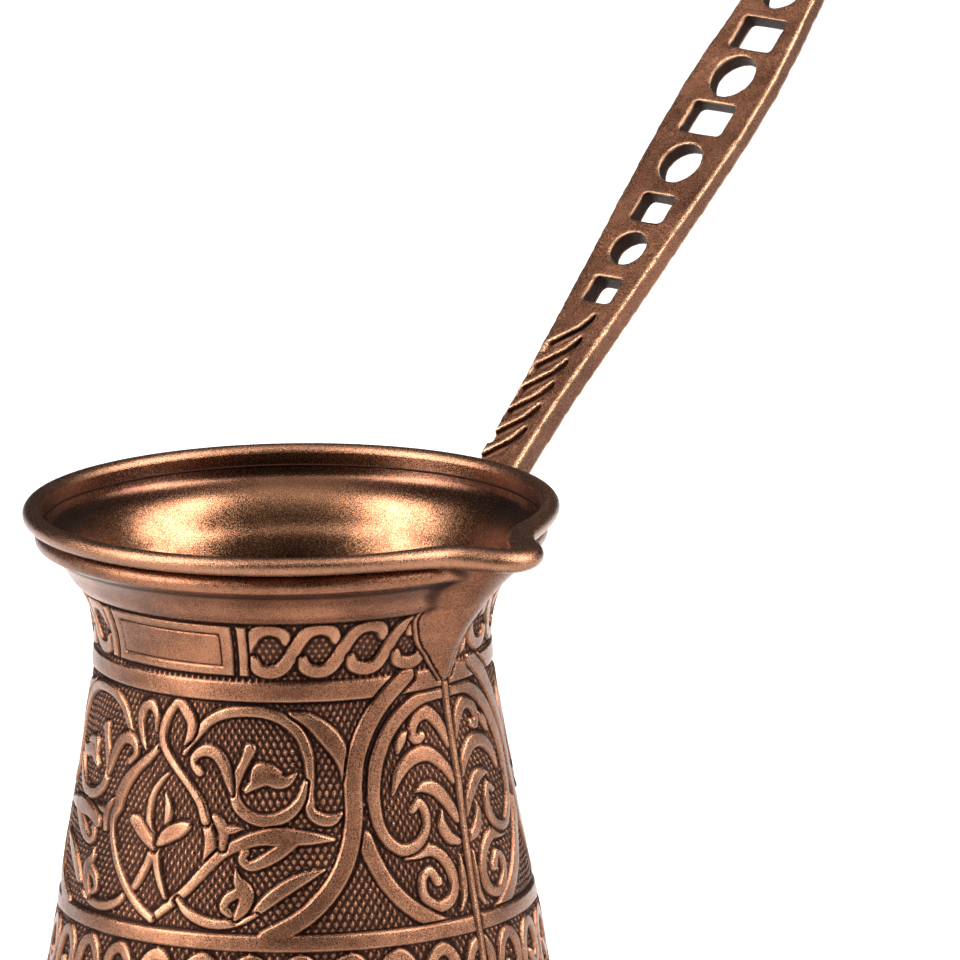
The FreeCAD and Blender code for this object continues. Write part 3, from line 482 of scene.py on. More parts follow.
def draw_register(relief):
    """The ogee with its scrolls, and the roundels between them."""
    for names in SCROLL_GROUPS:
        group = [SCROLL[name] for name in names]
        shift = MIRROR_SHIFT.get(names[0], USUAL_SHIFT)
        other = [mirrored(stroke, shift=shift) for stroke in group]
        if names[0] == "big_leaf":
            # The mirrored stem starts clear of the ogee's foot, and both stems cross over the ogee.
            other[0] = other[0][5:]
            relief = lay(relief, stroke_distance([OGEE["right"], OGEE["loop"]]))
        relief = lay(relief, stroke_distance(group + other))
    relief = lay(relief, stroke_distance([TULIP["left_leg"], TULIP["right_leg"], TULIP["stem"]]))
    relief = lay(relief, stroke_distance([TULIP["left"], TULIP["bud"]]))
    relief = lay(relief, stroke_distance([TULIP["right"]]))
    relief = lay(relief, stroke_distance([OGEE["hook"]]))
    relief = lay(relief, stroke_distance([OGEE["left"]]))
    # The upper part of the right side again, so that it passes over the left one.
    relief = lay(relief, stroke_distance([OGEE["right"][:9], OGEE["loop"]]))
    for stroke in ROUNDEL:
        relief = lay(relief, stroke_distance([stroke, mirrored(stroke, ROUNDEL_U)]))
    return lay(relief, stroke_distance([ROUNDEL_RING, mirrored(ROUNDEL_RING, ROUNDEL_U)]))


def draw_frieze():
    """A sunk rope between framed panels."""
    relief = bare_ground()
    for k in range(-1, 5):
        strand = [(ROPE_FIRST + ROPE_PITCH * k + u, ROPE_DEPTH + d, w) for u, d, w in ROPE_STRAND]
        relief = lay(relief, stroke_distance([strand, mirrored(strand)]))
    relief = np.where(panel_distance(*ROPE_GAP) < 0, GROUND_LEVEL, relief)
    for panel in PANELS:
        relief = lay(relief, panel_distance(*panel))
    return score(relief, panel_distance(*PANEL_LINE), PANEL_LINE_WIDTH)


def draw_foot():
    """A row of crozier scrolls with a leaf in each."""
    relief = bare_ground()
    for k in range(int(REPEAT / FOOT_PITCH)):
        middle = FIRST_U + FOOT_PITCH * k
        for stroke in (FOOT_LEAF, FOOT_SCROLL):
            relief = lay(relief, stroke_distance([[(middle + u, d, w) for u, d, w in stroke]]))
    return relief


def hatching():
    """Crossed cuts that leave rows of little pyramids on the sunk ground."""
    across = U_LINE[None, :] * DEGREE.mean()
    along = DEPTH_LINE[:, None]
    wander = noise_field((len(DEPTH_LINE), len(U_LINE)), (40, 60), RNG) * HATCH_WANDER
    lean = math.radians(HATCH_LEAN)
    ridges = []
    for sign in (1, -1):
        run = across * math.sin(lean) + sign * along * math.cos(lean) + sign * wander
        run = run / HATCH_PITCH
        ridges.append(1.0 - 2.0 * np.abs(run - np.floor(run) - 0.5))
    return smooth(np.minimum(*ridges) * 1.5 - 0.2)


def draw_engraving():
    """The whole repeat: 0 on the raised metal, about -1 on the ground, lower in the cut lines."""
    depth = DEPTH_LINE[:, None]
    relief = draw_register(bare_ground())
    relief = lay(relief, band_distance(FRIEZE_LOW, FRAME_TOP))
    relief = lay(relief, stroke_distance([CROSS_BAND, mirrored(CROSS_BAND, ROUNDEL_U)]))
    frame_strokes = stroke_distance([FRAME_BAND, mirrored(FRAME_BAND, ROUNDEL_U)])
    relief = lay(relief, np.minimum(frame_strokes, band_distance(REGISTER_LOW, FOOT_TOP)))
    foot = lay(draw_foot(), band_distance(FOOT_LOW, FOOT_END))
    relief = np.where(depth > FOOT_TOP + 0.1, foot, relief)
    relief = np.where(depth < FRIEZE_LOW - 0.2, draw_frieze(), relief)
    # Only the open ground is hatched: neither the raised metal nor the cut lines.
    open_ground = smooth((-0.94 - relief) / 0.05) * smooth((relief + 1.12) / 0.08)
    relief = relief + HATCH_HEIGHT * open_ground * hatching()
    relief = relief + DENT_HEIGHT * noise_field(relief.shape, (14, 18), RNG)
    below_top = smooth((depth - TOP - 0.45) / 0.3)
    top_line = 1 - smooth(np.abs(depth - TOP - TOP_LINE) / TOP_LINE_HALF)
    return relief * below_top - TOP_LINE_LEVEL * top_line


# ---------------------------------------------------------------- the pot's mesh

COLUMNS = 1152
THETA = -180.0 + 360.0 / COLUMNS * np.arange(COLUMNS)
SIDE = np.stack([np.cos(np.radians(THETA)), np.sin(np.radians(THETA))])
# The ogees and roundels aren't quite evenly spaced round the pot.
WARP_THETA = (-177.7, -90.0, 0.0, 90.0, 182.3)
WARP_U = (0.0, 87.0, 180.0, 267.0, 360.0)
GROUND_DEPTH = 0.58
PATH_REACH, PATH_NOSE, PATH_FLANK, PATH_CORNER = 47.7, 5.0, 32.5, 4.0
# At the lip the bead is wider and deeper by these, within this many degrees.
BEAD_WIDER, BEAD_DEEPER, BEAD_ANGLE = 1.1, 0.7, 17.0
# The bead's section from its outer foot over the top to the inside, in degrees.
BEAD_FIRST, BEAD_LAST, BEAD_ROWS = -112, 168, 26
UNDER_RADII = (2.0, 10.0, 20.0, 28.0, 32.4)
FOOT_HEIGHTS = (0.0, 0.15, 0.5, 1.0, 1.6, 2.4, 3.4, 4.6, 6.0, 7.5, 9.2)
FLOOR_RADII = (31.6, 20.0, 10.0, 2.0)
WALL_TOP, WALL_STEP = 2.9, 0.2
# Below the funnel the inside has plain rows: first depth, gap left above the floor, step.
INSIDE_FIRST, INSIDE_GAP, INSIDE_STEP = 22.4, 1.5, 1.4
# How much farther in than the outside the channel of the lip lies, at a depth below the rim.
CHANNEL_DEPTHS, CHANNEL_INSETS = (0.8, 3.0, 6.3), (3.9, 2.3, LIP_WALL)
# Dents of the beaten wall: (lump size in rows and columns, height).
DENTS = [((46, 70), 0.16), ((14, 24), 0.04)]
LIP_LINE_HALF = 0.6
# Shading: the blurs' reach in rows and columns, how strongly the lip's corner is painted with
# shade, how much the bead is painted bright, partly as wear and partly as painted highlight, and
# the most that a channel of the wall holds.
RELIEF_BLUR, CORNER_BLUR = (5, 5), (4, 7)
CORNER_SHADE, BEAD_RUB_AND_HIGHLIGHT, CHANNEL_MOST = 2.2, 0.3, 1.5
# The ring of painted shade inside the rim: depth and fade of its upper and its lower end.
RIM_SHADE_UPPER, RIM_SHADE_LOWER = (1.3, 1.2), (7.5, 2.0)


def outer_radius(depth):
    """The outside radius at a depth below the rim, without the lip."""
    curve = catmull_rom(MOULDINGS, 0.1)
    moulded = np.interp(depth, curve[:, 1], curve[:, 0])
    return np.where(depth < FRIEZE_TOP, moulded, body_radius(HEIGHT - depth))


def sample(field, depth):
    """The engraving read at every column of the pot for a list of depths."""
    u = np.interp(np.where(THETA < WARP_THETA[0], THETA + 360.0, THETA), WARP_THETA, WARP_U)
    column = ((u - FIRST_U) % REPEAT) / STEP_U
    row = np.clip((depth - TOP) / STEP_DEPTH, 0, len(DEPTH_LINE) - 1.001)
    c0, r0 = column.astype(int), row.astype(int)
    tc, tr = (column - c0)[None, :], (row - r0)[:, None]
    c0 %= len(U_LINE)
    c1 = (c0 + 1) % len(U_LINE)
    top = field[r0][:, c0] * (1 - tc) + field[r0][:, c1] * tc
    low = field[r0 + 1][:, c0] * (1 - tc) + field[r0 + 1][:, c1] * tc
    return top * (1 - tr) + low * tr


def engraved_wall(depth):
    """Relief for the wall's rows, with the lip's bare face and the seam below it left clear."""
    relief = sample(draw_engraving(), depth)
    radius = outer_radius(depth)[:, None]
    degree = radius * math.pi / 180
    phi = from_lip(THETA)[None, :]
    drops = LIP_LEVELS[:, 0]
    reach, nose, flank = (np.interp(depth, drops, LIP_LEVELS[:, i])[:, None] for i in (1, 2, 3))
    flank = np.radians(flank)
    chord = np.clip(((reach - nose) * np.sin(flank) + nose) / radius, -1, 1)
    edge = np.degrees(np.arcsin(chord) - flank)
    # Below the lip its edge is set far off, so that nothing counts as within it.
    edge = np.where(depth[:, None] < SEAM_TOP, edge, -20.0)
    off = (phi - edge) * degree
    border = np.abs(off - LIP_LINE_HALF) - LIP_LINE_HALF
    relief = lay(relief, np.where(depth[:, None] < SEAM_TOP + 1, border, FAR))
    seam = np.abs((THETA[None, :] - LIP_AZIMUTH - SEAM_OFFSET) * degree) - SEAM_WIDTH / 2
    seam = np.maximum(seam, SEAM_TOP - depth[:, None])
    relief = lay(relief, seam)
    return np.where(off < 0, 0.0, relief)


def lip_path():
    """The plan of the bead's centre line and the direction out of it."""
    wedge = wedge_radius(from_lip(THETA), PATH_REACH, PATH_NOSE, PATH_FLANK)
    path = SIDE * smooth_max(wedge, BEAD_CENTRE, PATH_CORNER)
    along = np.roll(path, -1, 1) - np.roll(path, 1, 1)
    along /= np.hypot(*along)
    return path, np.stack([along[1], -along[0]])


def bead_rows():
    """The rolled rim, wider and a little lower at the tip of the lip."""
    path, out = lip_path()
    near = np.exp(-((from_lip(THETA) / BEAD_ANGLE) ** 2))
    half = BEAD_RADIUS + BEAD_WIDER * near
    deep = BEAD_RADIUS + BEAD_DEEPER * near
    rows = []
    for angle in np.radians(np.linspace(BEAD_FIRST, BEAD_LAST, BEAD_ROWS)):
        plan = path + out * half * math.cos(angle)
        depth = deep * (1 - math.sin(angle))
        rows.append(np.stack([plan[0], plan[1], depth]))
    return np.array(rows)


def turned_rows(depth, radius):
    """Rows of a surface given as radius by depth and column."""
    radius = np.broadcast_to(radius, (len(depth), COLUMNS))
    deep = np.broadcast_to(np.array(depth)[:, None], radius.shape)
    return np.stack([radius * SIDE[0], radius * SIDE[1], deep], 1)


def quads(rows, columns):
    """Faces of a tube of rows by columns, and the two caps that close it."""
    index = np.arange(rows * columns).reshape(rows, columns)
    right = np.roll(index, -1, 1)
    sides = np.stack([index[:-1], right[:-1], right[1:], index[1:]], -1).reshape(-1, 4)
    return sides, index[0][::-1], index[-1]


def tube_object(name, points, channels):
    """A closed mesh object from rows of points in millimetres.

    channels gives a value per point for each named attribute.
    """
    rows, columns = points.shape[:2]
    sides, first, last = quads(rows, columns)
    corners = np.concatenate([sides.ravel(), first, last])
    totals = np.concatenate([np.full(len(sides), 4), [columns, columns]])
    starts = np.concatenate([[0], np.cumsum(totals)[:-1]])
    mesh = bpy.data.meshes.new(name)
    mesh.vertices.add(rows * columns)
    mesh.vertices.foreach_set("co", (points.reshape(-1) * MM).astype(np.float32))
    mesh.loops.add(len(corners))
    mesh.loops.foreach_set("vertex_index", corners.astype(np.int32))
    mesh.polygons.add(len(totals))
    mesh.polygons.foreach_set("loop_start", starts.astype(np.int32))
    mesh.update(calc_edges=True)
    mesh.shade_smooth()
    for channel, values in channels.items():
        layer = mesh.attributes.new(channel, "FLOAT", "POINT")
        layer.data.foreach_set("value", np.ascontiguousarray(values, np.float32).ravel())
    thing = bpy.data.objects.new(name, mesh)
    bpy.context.scene.collection.objects.link(thing)
    return thing


def dented(shape, depth):
    """Shallow dents all over the wall, fading out towards the rim."""
    dents = sum(noise_field(shape, cell, RNG) * height for cell, height in DENTS)
    return dents * smooth((depth - 8) / 6)


def inside_rows():
    """The inside from the bead down to the floor, with the channel of the lip in it."""
    curve = catmull_rom(INSIDE, 0.5)
    plain = np.arange(INSIDE_FIRST, HEIGHT - BASE_THICKNESS - INSIDE_GAP, INSIDE_STEP)
    depth = np.concatenate([curve[:, 1], plain])
    radius = np.where(
        depth < INSIDE[-1][1],
        np.interp(depth, curve[:, 1], curve[:, 0]),
        body_radius(HEIGHT - depth, WALL),
    )
    inset = np.interp(depth, CHANNEL_DEPTHS, CHANNEL_INSETS)[:, None]
    return turned_rows(depth, lip_surface(THETA[None, :], depth[:, None], radius[:, None], inset))


def shading(relief, lipped, points, before, after, bead_count, inner_count):
    """Values per point for the material: relief, hollows, wear and painted highlight, inside,
    painted shade.
    """
    frame_rows = ((before, after), (0, 0))
    wide = blur(relief, *RELIEF_BLUR)
    # The lip's corner with the wall is painted dark as shade, through the cavity channel.
    hollow = np.clip(blur(lipped, *CORNER_BLUR) - lipped, 0, 0.5) * CORNER_SHADE
    # Proud edges of the engraving are painted bright, partly as wear and partly as painted
    # highlight.
    wear_and_highlight = np.pad(np.clip(relief - wide, 0, CHANNEL_MOST), frame_rows)
    bead_first = before + len(relief)
    # The bead is painted bright the same way, partly wear and partly painted highlight.
    wear_and_highlight[bead_first : bead_first + bead_count] = BEAD_RUB_AND_HIGHLIGHT
    within = np.zeros(points.shape[:2])
    within[-inner_count:] = 1.0
    below_rim = HEIGHT - points[:, :, 2]
    # A ring inside the rim, below the bead, is painted darker as shade.
    rim_shade = smooth((below_rim - RIM_SHADE_UPPER[0]) / RIM_SHADE_UPPER[1])
    rim_shade = within * rim_shade * smooth((RIM_SHADE_LOWER[0] - below_rim) / RIM_SHADE_LOWER[1])
    return {
        "relief": np.pad(relief, frame_rows),
        "cavity": np.pad(np.clip(wide - relief + hollow, 0, CHANNEL_MOST), frame_rows),
        "wear_and_highlight": wear_and_highlight,
        "within": within,
        "rim_shade": rim_shade,
    }


def build_pot():
    """One closed vessel: underside, engraved wall, mouldings, rolled rim, lip, inside and floor."""
    under = turned_rows([HEIGHT] * len(UNDER_RADII), np.array(UNDER_RADII)[:, None])
    foot_depth = HEIGHT - np.array(FOOT_HEIGHTS)
    foot = turned_rows(foot_depth, body_radius(HEIGHT - foot_depth)[:, None])
    wall_depth = np.arange(BOTTOM, WALL_TOP, -WALL_STEP)
    relief = engraved_wall(wall_depth)
    relief[wall_depth < TOP] = 0.0
    plain = outer_radius(wall_depth)[:, None]
    lipped = lip_surface(THETA[None, :], wall_depth[:, None], plain)
    dents = dented(lipped.shape, wall_depth[:, None])
    wall = turned_rows(wall_depth, lipped + relief * GROUND_DEPTH + dents)
    bead = bead_rows()
    inside = inside_rows()
    floor_depth = [HEIGHT - BASE_THICKNESS] * len(FLOOR_RADII)
    floor = turned_rows(floor_depth, np.array(FLOOR_RADII)[:, None])
    points = np.concatenate([under, foot, wall, bead, inside, floor]).transpose(0, 2, 1)
    dip = LIP_DROP * np.exp(-((from_lip(THETA) / DROP_ANGLE) ** 2))
    lowered = points[:, :, 2] + dip[None, :] * smooth(1 - points[:, :, 2] / DROP_DEPTH)
    points[:, :, 2] = HEIGHT - lowered

    inner = len(inside) + len(floor)
    before, after = len(under) + len(foot), len(bead) + inner
    channels = shading(relief, lipped, points, before, after, len(bead), inner)
    return tube_object("pot_shell", points, channels)


# ---------------------------------------------------------------- handle and rivets


def copy_of(node, name):
    """A fresh mesh object with the shape of a CAD node, in the object's own frame."""
    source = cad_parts[node]
    mesh = source.data.copy()
    mesh.name = name
    mesh.transform(source.matrix_world)
    mesh.materials.clear()
    thing = bpy.data.objects.new(name, mesh)
    bpy.context.scene.collection.objects.link(thing)
    return thing


def applied(thing):
    """Bakes an object's modifiers into its mesh."""
    graph = bpy.context.evaluated_depsgraph_get()
    mesh = bpy.data.meshes.new_from_object(thing.evaluated_get(graph))
    thing.modifiers.clear()
    thing.data = mesh
    return thing


def remeshed(node, name, voxel, rounds):
    """A CAD node's shape with soft, cast-looking edges, as an even mesh."""
    thing = copy_of(node, name)
    cells = thing.modifiers.new("cells", "REMESH")
    cells.mode = "VOXEL"
    cells.voxel_size = voxel * MM
    soft = thing.modifiers.new("soft", "SMOOTH")
    soft.factor = 0.5
    soft.iterations = rounds
    return applied(thing)


def mesh_points(mesh):
    points = np.empty(len(mesh.vertices) * 3, np.float32)
    mesh.vertices.foreach_get("co", points)
    return points.reshape(-1, 3).astype(float) / MM


def mesh_normals(mesh):
    normals = np.empty(len(mesh.vertices) * 3, np.float32)
    mesh.vertices.foreach_get("normal", normals)
    return normals.reshape(-1, 3).astype(float)


def neighbour_mean(mesh, values, rounds):
    """Values averaged over each point's neighbours, several times."""
    ends = np.empty(len(mesh.edges) * 2, np.int32)
    mesh.edges.foreach_get("vertices", ends)
    a, b = ends.reshape(-1, 2).T
    count = np.bincount(a, minlength=len(values)) + np.bincount(b, minlength=len(values))
    for _ in range(rounds):
        total = np.zeros_like(values)
        for axis in range(values.shape[1]):
            total[:, axis] += np.bincount(a, values[b, axis], len(values))
            total[:, axis] += np.bincount(b, values[a, axis], len(values))
        values = 0.35 * values + 0.65 * total / count[:, None]
    return values


def lumps(points, size, seed):
    """Soft 3-D noise from -1 to 1 from a sum of waves in random directions, about size across."""
    rng = np.random.default_rng(seed)
    total = np.zeros(len(points))
    for _ in range(14):
        way = rng.normal(size=3)
        way *= 2 * math.pi / size / np.linalg.norm(way) * rng.uniform(0.6, 1.5)
        total += np.sin(points @ way + rng.uniform(0, 2 * math.pi))
    return total / math.sqrt(14)


def mark_shape(thing, rounds, shade=0.0):
    """Stores how hollow or how proud each point of a mesh is, with shade added to the hollows."""
    mesh = thing.data
    points, normals = mesh_points(mesh), mesh_normals(mesh)
    offset = ((neighbour_mean(mesh, points, rounds) - points) * normals).sum(1)
    # Hollows go dark; proud points are painted bright, partly as wear and partly as painted
    # highlight.
    channels = {"cavity": np.clip(offset, 0, 1) + shade, "wear_and_highlight": np.clip(-offset, 0, 1)}
    for channel, values in channels.items():
        layer = mesh.attributes.new(channel, "FLOAT", "POINT")
        layer.data.foreach_set("value", np.ascontiguousarray(values, np.float32))
    mesh.shade_smooth()


def push(thing, amount):
    """Moves each point along its normal by amount millimetres."""
    mesh = thing.data
    points = mesh_points(mesh) + mesh_normals(mesh) * amount[:, None]
    mesh.vertices.foreach_set("co", (points.reshape(-1) * MM).astype(np.float32))
    mesh.update()


ARM_ANGLE = 41.5
HANDLE_VOXEL, HANDLE_ROUNDS, HANDLE_REACH = 0.22, 12, 14
RIVET_VOXEL, RIVET_ROUNDS, RIVET_REACH = 0.16, 4, 20
# Lumps of the casting: (height, size, seed), and for a rivet's head (height, size).
HANDLE_LUMPS = [(0.012, 2.2, 5), (0.05, 9.0, 6)]
RIVET_LUMP = (0.10, 2.2)
# The windows lie within this much of the arm's middle, from this x on; their walls get painted
# shade.
WINDOW_HALF, WINDOWS_FROM, WINDOW_SHADE = 5.0, 68.0, 0.35


def build_handle():
    """The handle with cast edges, and with its windows' walls marked as hollow to paint shade
    there.
    """
    handle = remeshed("handle", "handle_cast", HANDLE_VOXEL, HANDLE_ROUNDS)
    points = mesh_points(handle.data)
    push(handle, sum(height * lumps(points, size, seed) for height, size, seed in HANDLE_LUMPS))
    normals = mesh_normals(handle.data)
    lean = math.radians(ARM_ANGLE)
    facing = np.abs(normals @ np.array([-math.sin(lean), 0.0, math.cos(lean)]))
    in_window = smooth((WINDOW_HALF - np.abs(points[:, 1])) / 0.5)
    in_window = in_window * smooth((points[:, 0] - WINDOWS_FROM) / 2.0)
    mark_shape(handle, HANDLE_REACH, WINDOW_SHADE * smooth((0.85 - facing) / 0.3) * in_window)
    return handle


def build_rivet(node, seed):
    """A rivet with a slightly beaten head."""
    rivet = remeshed(node, f"{node}_head", RIVET_VOXEL, RIVET_ROUNDS)
    height, size = RIVET_LUMP
    push(rivet, height * lumps(mesh_points(rivet.data), size, seed))
    mark_shape(rivet, RIVET_REACH)
    return rivet


# ---------------------------------------------------------------- materials


class Sheet:
    """A node material under construction."""

    def __init__(self, name):
        self.material = bpy.data.materials.new(name)
        self.material.use_nodes = True
        self.tree = self.material.node_tree
        self.shader = self.tree.nodes["Principled BSDF"]

    def add(self, kind, settings=(), **inputs):
        node = self.tree.nodes.new(kind)
        for key, value in dict(settings).items():
            setattr(node, key, value)
        for key, value in inputs.items():
            self.feed(node.inputs[key.replace("_", " ")], value)
        return node

    def feed(self, socket, value):
        if isinstance(value, bpy.types.NodeSocket):
            self.tree.links.new(value, socket)
        else:
            socket.default_value = value

    def attribute(self, name):
        return self.add("ShaderNodeAttribute", {"attribute_name": name}).outputs["Fac"]

    def noise(self, scale, detail=3.0, rough=0.55):
        where = self.add("ShaderNodeTexCoord").outputs["Object"]
        shape = {"Scale": scale, "Detail": detail, "Roughness": rough}
        return self.add("ShaderNodeTexNoise", Vector=where, **shape).outputs["Fac"]

    def math(self, operation, a, b):
        node = self.add("ShaderNodeMath", {"operation": operation})
        self.feed(node.inputs[0], a)
        self.feed(node.inputs[1], b)
        return node.outputs[0]

    def span(self, value, low, high, to_low=0.0, to_high=1.0):
        node = self.add("ShaderNodeMapRange", {"interpolation_type": "SMOOTHSTEP"}, Value=value)
        ends = {"From Min": low, "From Max": high, "To Min": to_low, "To Max": to_high}
        for key, number in ends.items():
            node.inputs[key].default_value = number
        return node.outputs[0]

    def mix(self, amount, a, b):
        """Colour a at 0 and colour b at 1; each is a socket or three numbers."""
        node = self.add("ShaderNodeMix", {"data_type": "RGBA"})
        self.feed(node.inputs["Factor"], amount)
        for socket, value in ((node.inputs[6], a), (node.inputs[7], b)):
            self.feed(socket, (*value, 1.0) if isinstance(value, tuple) else value)
        return node.outputs[2]

    def bump(self, height, distance, strength, below=None):
        node = self.add("ShaderNodeBump", Height=height, Distance=distance, Strength=strength)
        if below is not None:
            self.feed(node.inputs["Normal"], below)
        return node.outputs["Normal"]


# Patina of the ground and hollows, also painted as shade in the lip's corner and on window walls.
PATINA_AND_SHADE = (0.013, 0.006, 0.005)
# Painted shade for the ring inside the rim.
RIM_SHADE = (0.045, 0.018, 0.014)
INSIDE_DARK, INSIDE_BRIGHT = (0.065, 0.025, 0.014), (0.26, 0.122, 0.063)
PATCH_DARK, PATCH_BRIGHT = 0.48, 1.42
# Depths of the three sizes of grain, in metres for a grain of 1.
SPECKLE_DEPTH, FINE_DEPTH, COARSE_DEPTH = 0.00010, 0.00003, 0.00006


def aged_copper(name, middle, bright, cavity, wear_and_highlight, grain, engraved=False):
    """Old metal: patina and painted shade in hollows, wear and painted highlight on edges, speckled
    satin.

    The cavity and edge ranges are the values of those channels where the darkening or the
    brightening starts and is full.  The engraved pot has its inside, the painted shade inside its
    rim and its ground besides.
    """
    sheet = Sheet(name)
    clouds = sheet.noise(70.0, 5.0, 0.65)
    speckle = sheet.noise(5200.0, 2.0, 0.7)
    fine = sheet.noise(6500.0, 2.0, 0.6)
    clouded = sheet.math("MULTIPLY", clouds, 0.4)
    speckled = sheet.math("MULTIPLY", speckle, 0.6)
    patch = sheet.span(sheet.math("ADD", clouded, speckled), 0.40, 0.60)
    base = sheet.mix(patch, *(tuple(k * c for c in middle) for k in (PATCH_DARK, PATCH_BRIGHT)))
    if engraved:
        within = sheet.attribute("within")
        golden = sheet.mix(patch, INSIDE_DARK, INSIDE_BRIGHT)
        base = sheet.mix(within, base, golden)
        # The ring inside the rim is painted darker as shade.
        rim_shade = sheet.math("MULTIPLY", sheet.attribute("rim_shade"), 0.62)
        base = sheet.mix(rim_shade, base, RIM_SHADE)
        ground = sheet.span(sheet.attribute("relief"), -0.40, -0.92)
        base = sheet.mix(sheet.math("MULTIPLY", ground, 0.86), base, PATINA_AND_SHADE)
    # The hollows take the patina; the lip's corner and the handle's window walls get it as painted
    # shade.
    hollow = sheet.span(sheet.attribute("cavity"), *cavity)
    base = sheet.mix(sheet.math("MULTIPLY", hollow, 0.93), base, PATINA_AND_SHADE)
    # Edges painted bright, partly as wear and partly as painted highlight.
    proud = sheet.span(sheet.attribute("wear_and_highlight"), *wear_and_highlight)
    rub_and_highlight = sheet.math("MULTIPLY", proud, sheet.span(speckle, 0.3, 0.6, 0.45, 1.0))
    base = sheet.mix(rub_and_highlight, base, bright)
    rough = sheet.span(speckle, 0.3, 0.7, 0.20, 0.38)
    rough = sheet.math("ADD", rough, sheet.math("MULTIPLY", hollow, 0.25))
    rough = sheet.math("SUBTRACT", rough, sheet.math("MULTIPLY", rub_and_highlight, 0.08))
    if engraved:
        rough = sheet.math("SUBTRACT", rough, sheet.math("MULTIPLY", within, 0.07))
        strength = sheet.span(within, 0.0, 1.0, 0.50, 0.24)
    else:
        strength = 0.6
    sheet.feed(sheet.shader.inputs["Base Color"], base)
    sheet.feed(sheet.shader.inputs["Roughness"], rough)
    sheet.shader.inputs["Metallic"].default_value = 1.0
    skin = sheet.bump(speckle, SPECKLE_DEPTH * grain, strength)
    skin = sheet.bump(fine, FINE_DEPTH * grain, strength, skin)
    skin = sheet.bump(sheet.noise(420.0, 2.0), COARSE_DEPTH * grain, strength, skin)
    sheet.feed(sheet.shader.inputs["Normal"], skin)
    return sheet.material


def floor_material():
    sheet = Sheet("pale_paper")
    base = sheet.mix(sheet.noise(9.0), (0.76, 0.76, 0.76), (0.79, 0.79, 0.79))
    sheet.feed(sheet.shader.inputs["Base Color"], base)
    sheet.shader.inputs["Roughness"].default_value = 0.9
    return sheet.material


# ---------------------------------------------------------------- the object

pot = build_pot()
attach(pot, "root")
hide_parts("pot_body")
pot_metal = aged_copper(
    "engraved_copper",
    middle=(0.188, 0.081, 0.045),
    bright=(0.36, 0.190, 0.114),
    cavity=(0.12, 0.6),
    wear_and_highlight=(0.10, 0.6),
    grain=1.5,
    engraved=True,
)
pot.data.materials.append(pot_metal)

handle = build_handle()
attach(handle, "root")
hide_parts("handle")
handle_metal = aged_copper(
    "cast_handle",
    middle=(0.125, 0.053, 0.030),
    bright=(0.42, 0.24, 0.14),
    cavity=(0.02, 0.16),
    wear_and_highlight=(0.02, 0.15),
    grain=1.5,
)
handle.data.materials.append(handle_metal)

rivet_metal = aged_copper(
    "rivets",
    middle=(0.19, 0.084, 0.047),
    bright=(0.42, 0.23, 0.14),
    cavity=(0.05, 0.3),
    wear_and_highlight=(0.10, 0.4),
    grain=1.6,
)
for seed, node in enumerate(("rivet_upper_left", "rivet_upper_right", "rivet_lower")):
    rivet = build_rivet(node, 30 + seed)
    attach(rivet, "root")
    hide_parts(node)
    rivet.data.materials.append(rivet_metal)


# ---------------------------------------------------------------- the studio


LIGHT_AIM = Vector((0.03, 0.0, 0.07))
FLOOR_HALF = 9.0
WORLD_LOW, WORLD_HIGH, WORLD_STRENGTH = 0.03, 0.20, 0.9
CAMERA_AZIMUTH, CAMERA_ELEVATION, CAMERA_ROLL = -49.2, 12.74, 0.85
CAMERA_AWAY = 6.0
LENS, SENSOR = 1424.0, 36.0
# The middle of the picture, in metres to the right of and above the middle of the rim.
AIM_RIGHT, AIM_UP = 0.02995, 0.00275


def area_light(name, place, size, power):
    """A soft box that faces the pot."""
    lamp = bpy.data.lights.new(name, "AREA")
    lamp.shape = "RECTANGLE"
    lamp.size, lamp.size_y = size
    lamp.energy = power
    thing = bpy.data.objects.new(name, lamp)
    bpy.context.scene.collection.objects.link(thing)
    thing.location = place
    aim = LIGHT_AIM - Vector(place)
    thing.rotation_euler = aim.to_track_quat("-Z", "Y").to_euler()


def build_floor():
    mesh = bpy.data.meshes.new("floor")
    corners = [(x * FLOOR_HALF, y * FLOOR_HALF, 0) for x, y in ((-1, -1), (1, -1), (1, 1), (-1, 1))]
    mesh.from_pydata(corners, [], [(0, 1, 2, 3)])
    floor = bpy.data.objects.new("floor", mesh)
    bpy.context.scene.collection.objects.link(floor)
    mesh.materials.append(floor_material())


def camera_axes():
    """Right, up and back of the camera before it is rolled."""
    a, e = math.radians(CAMERA_AZIMUTH), math.radians(CAMERA_ELEVATION)
    right = Vector((math.cos(a), math.sin(a), 0.0))
    back = Vector((math.sin(a) * math.cos(e), -math.cos(a) * math.cos(e), math.sin(e)))
    return right, back.cross(right), back


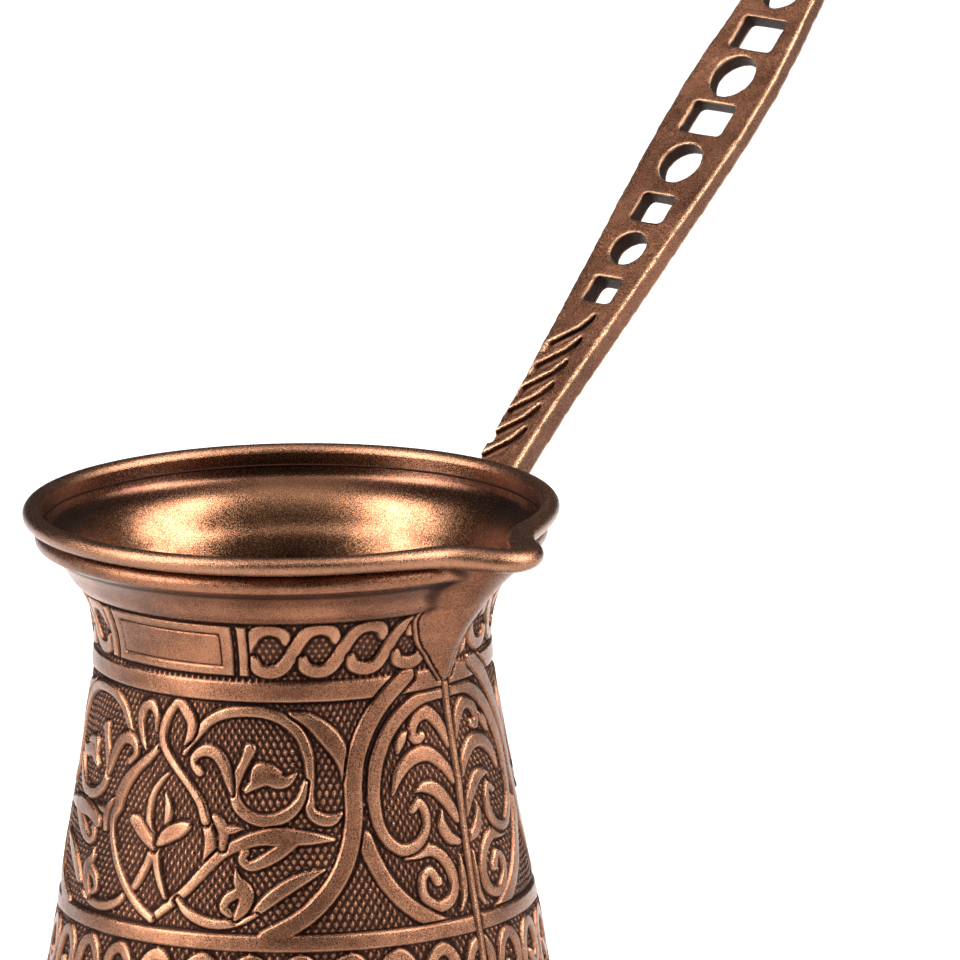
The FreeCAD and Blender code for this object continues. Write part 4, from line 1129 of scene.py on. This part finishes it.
def from_camera(right, up, back):
    """A place given along the camera's own directions from the pot."""
    axes = camera_axes()
    return tuple(axes[0] * right + axes[1] * up + axes[2] * back)


def build_camera():
    right, up, back = camera_axes()
    aim = Vector((0, 0, HEIGHT * MM)) + right * AIM_RIGHT + up * AIM_UP
    roll = math.radians(CAMERA_ROLL)
    turned_right = right * math.cos(roll) - up * math.sin(roll)
    turned_up = up * math.cos(roll) + right * math.sin(roll)
    lens = bpy.data.cameras.new("camera")
    lens.sensor_width = SENSOR
    lens.lens = LENS
    lens.clip_end = 50.0
    camera = bpy.data.objects.new("camera", lens)
    bpy.context.scene.collection.objects.link(camera)
    place = aim + back * CAMERA_AWAY
    columns = Matrix((turned_right, turned_up, back)).transposed().to_4x4()
    camera.matrix_world = Matrix.Translation(place) @ columns
    bpy.context.scene.camera = camera


def build_world():
    """An even grey surround, darker below."""
    world = bpy.data.worlds.new("studio")
    world.use_nodes = True
    tree = world.node_tree
    where = tree.nodes.new("ShaderNodeTexCoord").outputs["Generated"]
    parts = tree.nodes.new("ShaderNodeSeparateXYZ")
    tree.links.new(where, parts.inputs[0])
    ramp = tree.nodes.new("ShaderNodeValToRGB")
    tree.links.new(parts.outputs["Z"], ramp.inputs["Fac"])
    ends = zip(ramp.color_ramp.elements, (0.0, 0.9), (WORLD_LOW, WORLD_HIGH), strict=True)
    for element, position, grey in ends:
        element.position = position
        element.color = (grey, grey, grey, 1)
    backdrop = tree.nodes["Background"]
    tree.links.new(ramp.outputs["Color"], backdrop.inputs["Color"])
    backdrop.inputs["Strength"].default_value = WORLD_STRENGTH
    bpy.context.scene.world = world


build_floor()
build_world()
area_light("left_box", from_camera(-1.12, 0.75, 0.6), (0.55, 1.3), 54.0)
area_light("right_box", from_camera(1.05, 0.85, 0.45), (0.45, 1.2), 42.0)
area_light("top_box", (0.0, 0.0, 1.7), (1.2, 1.2), 6.0)
area_light("strip", from_camera(-0.25, 1.5, 1.2), (1.3, 0.08), 3.0)
build_camera()
bpy.context.scene.view_settings.view_transform = "Standard"
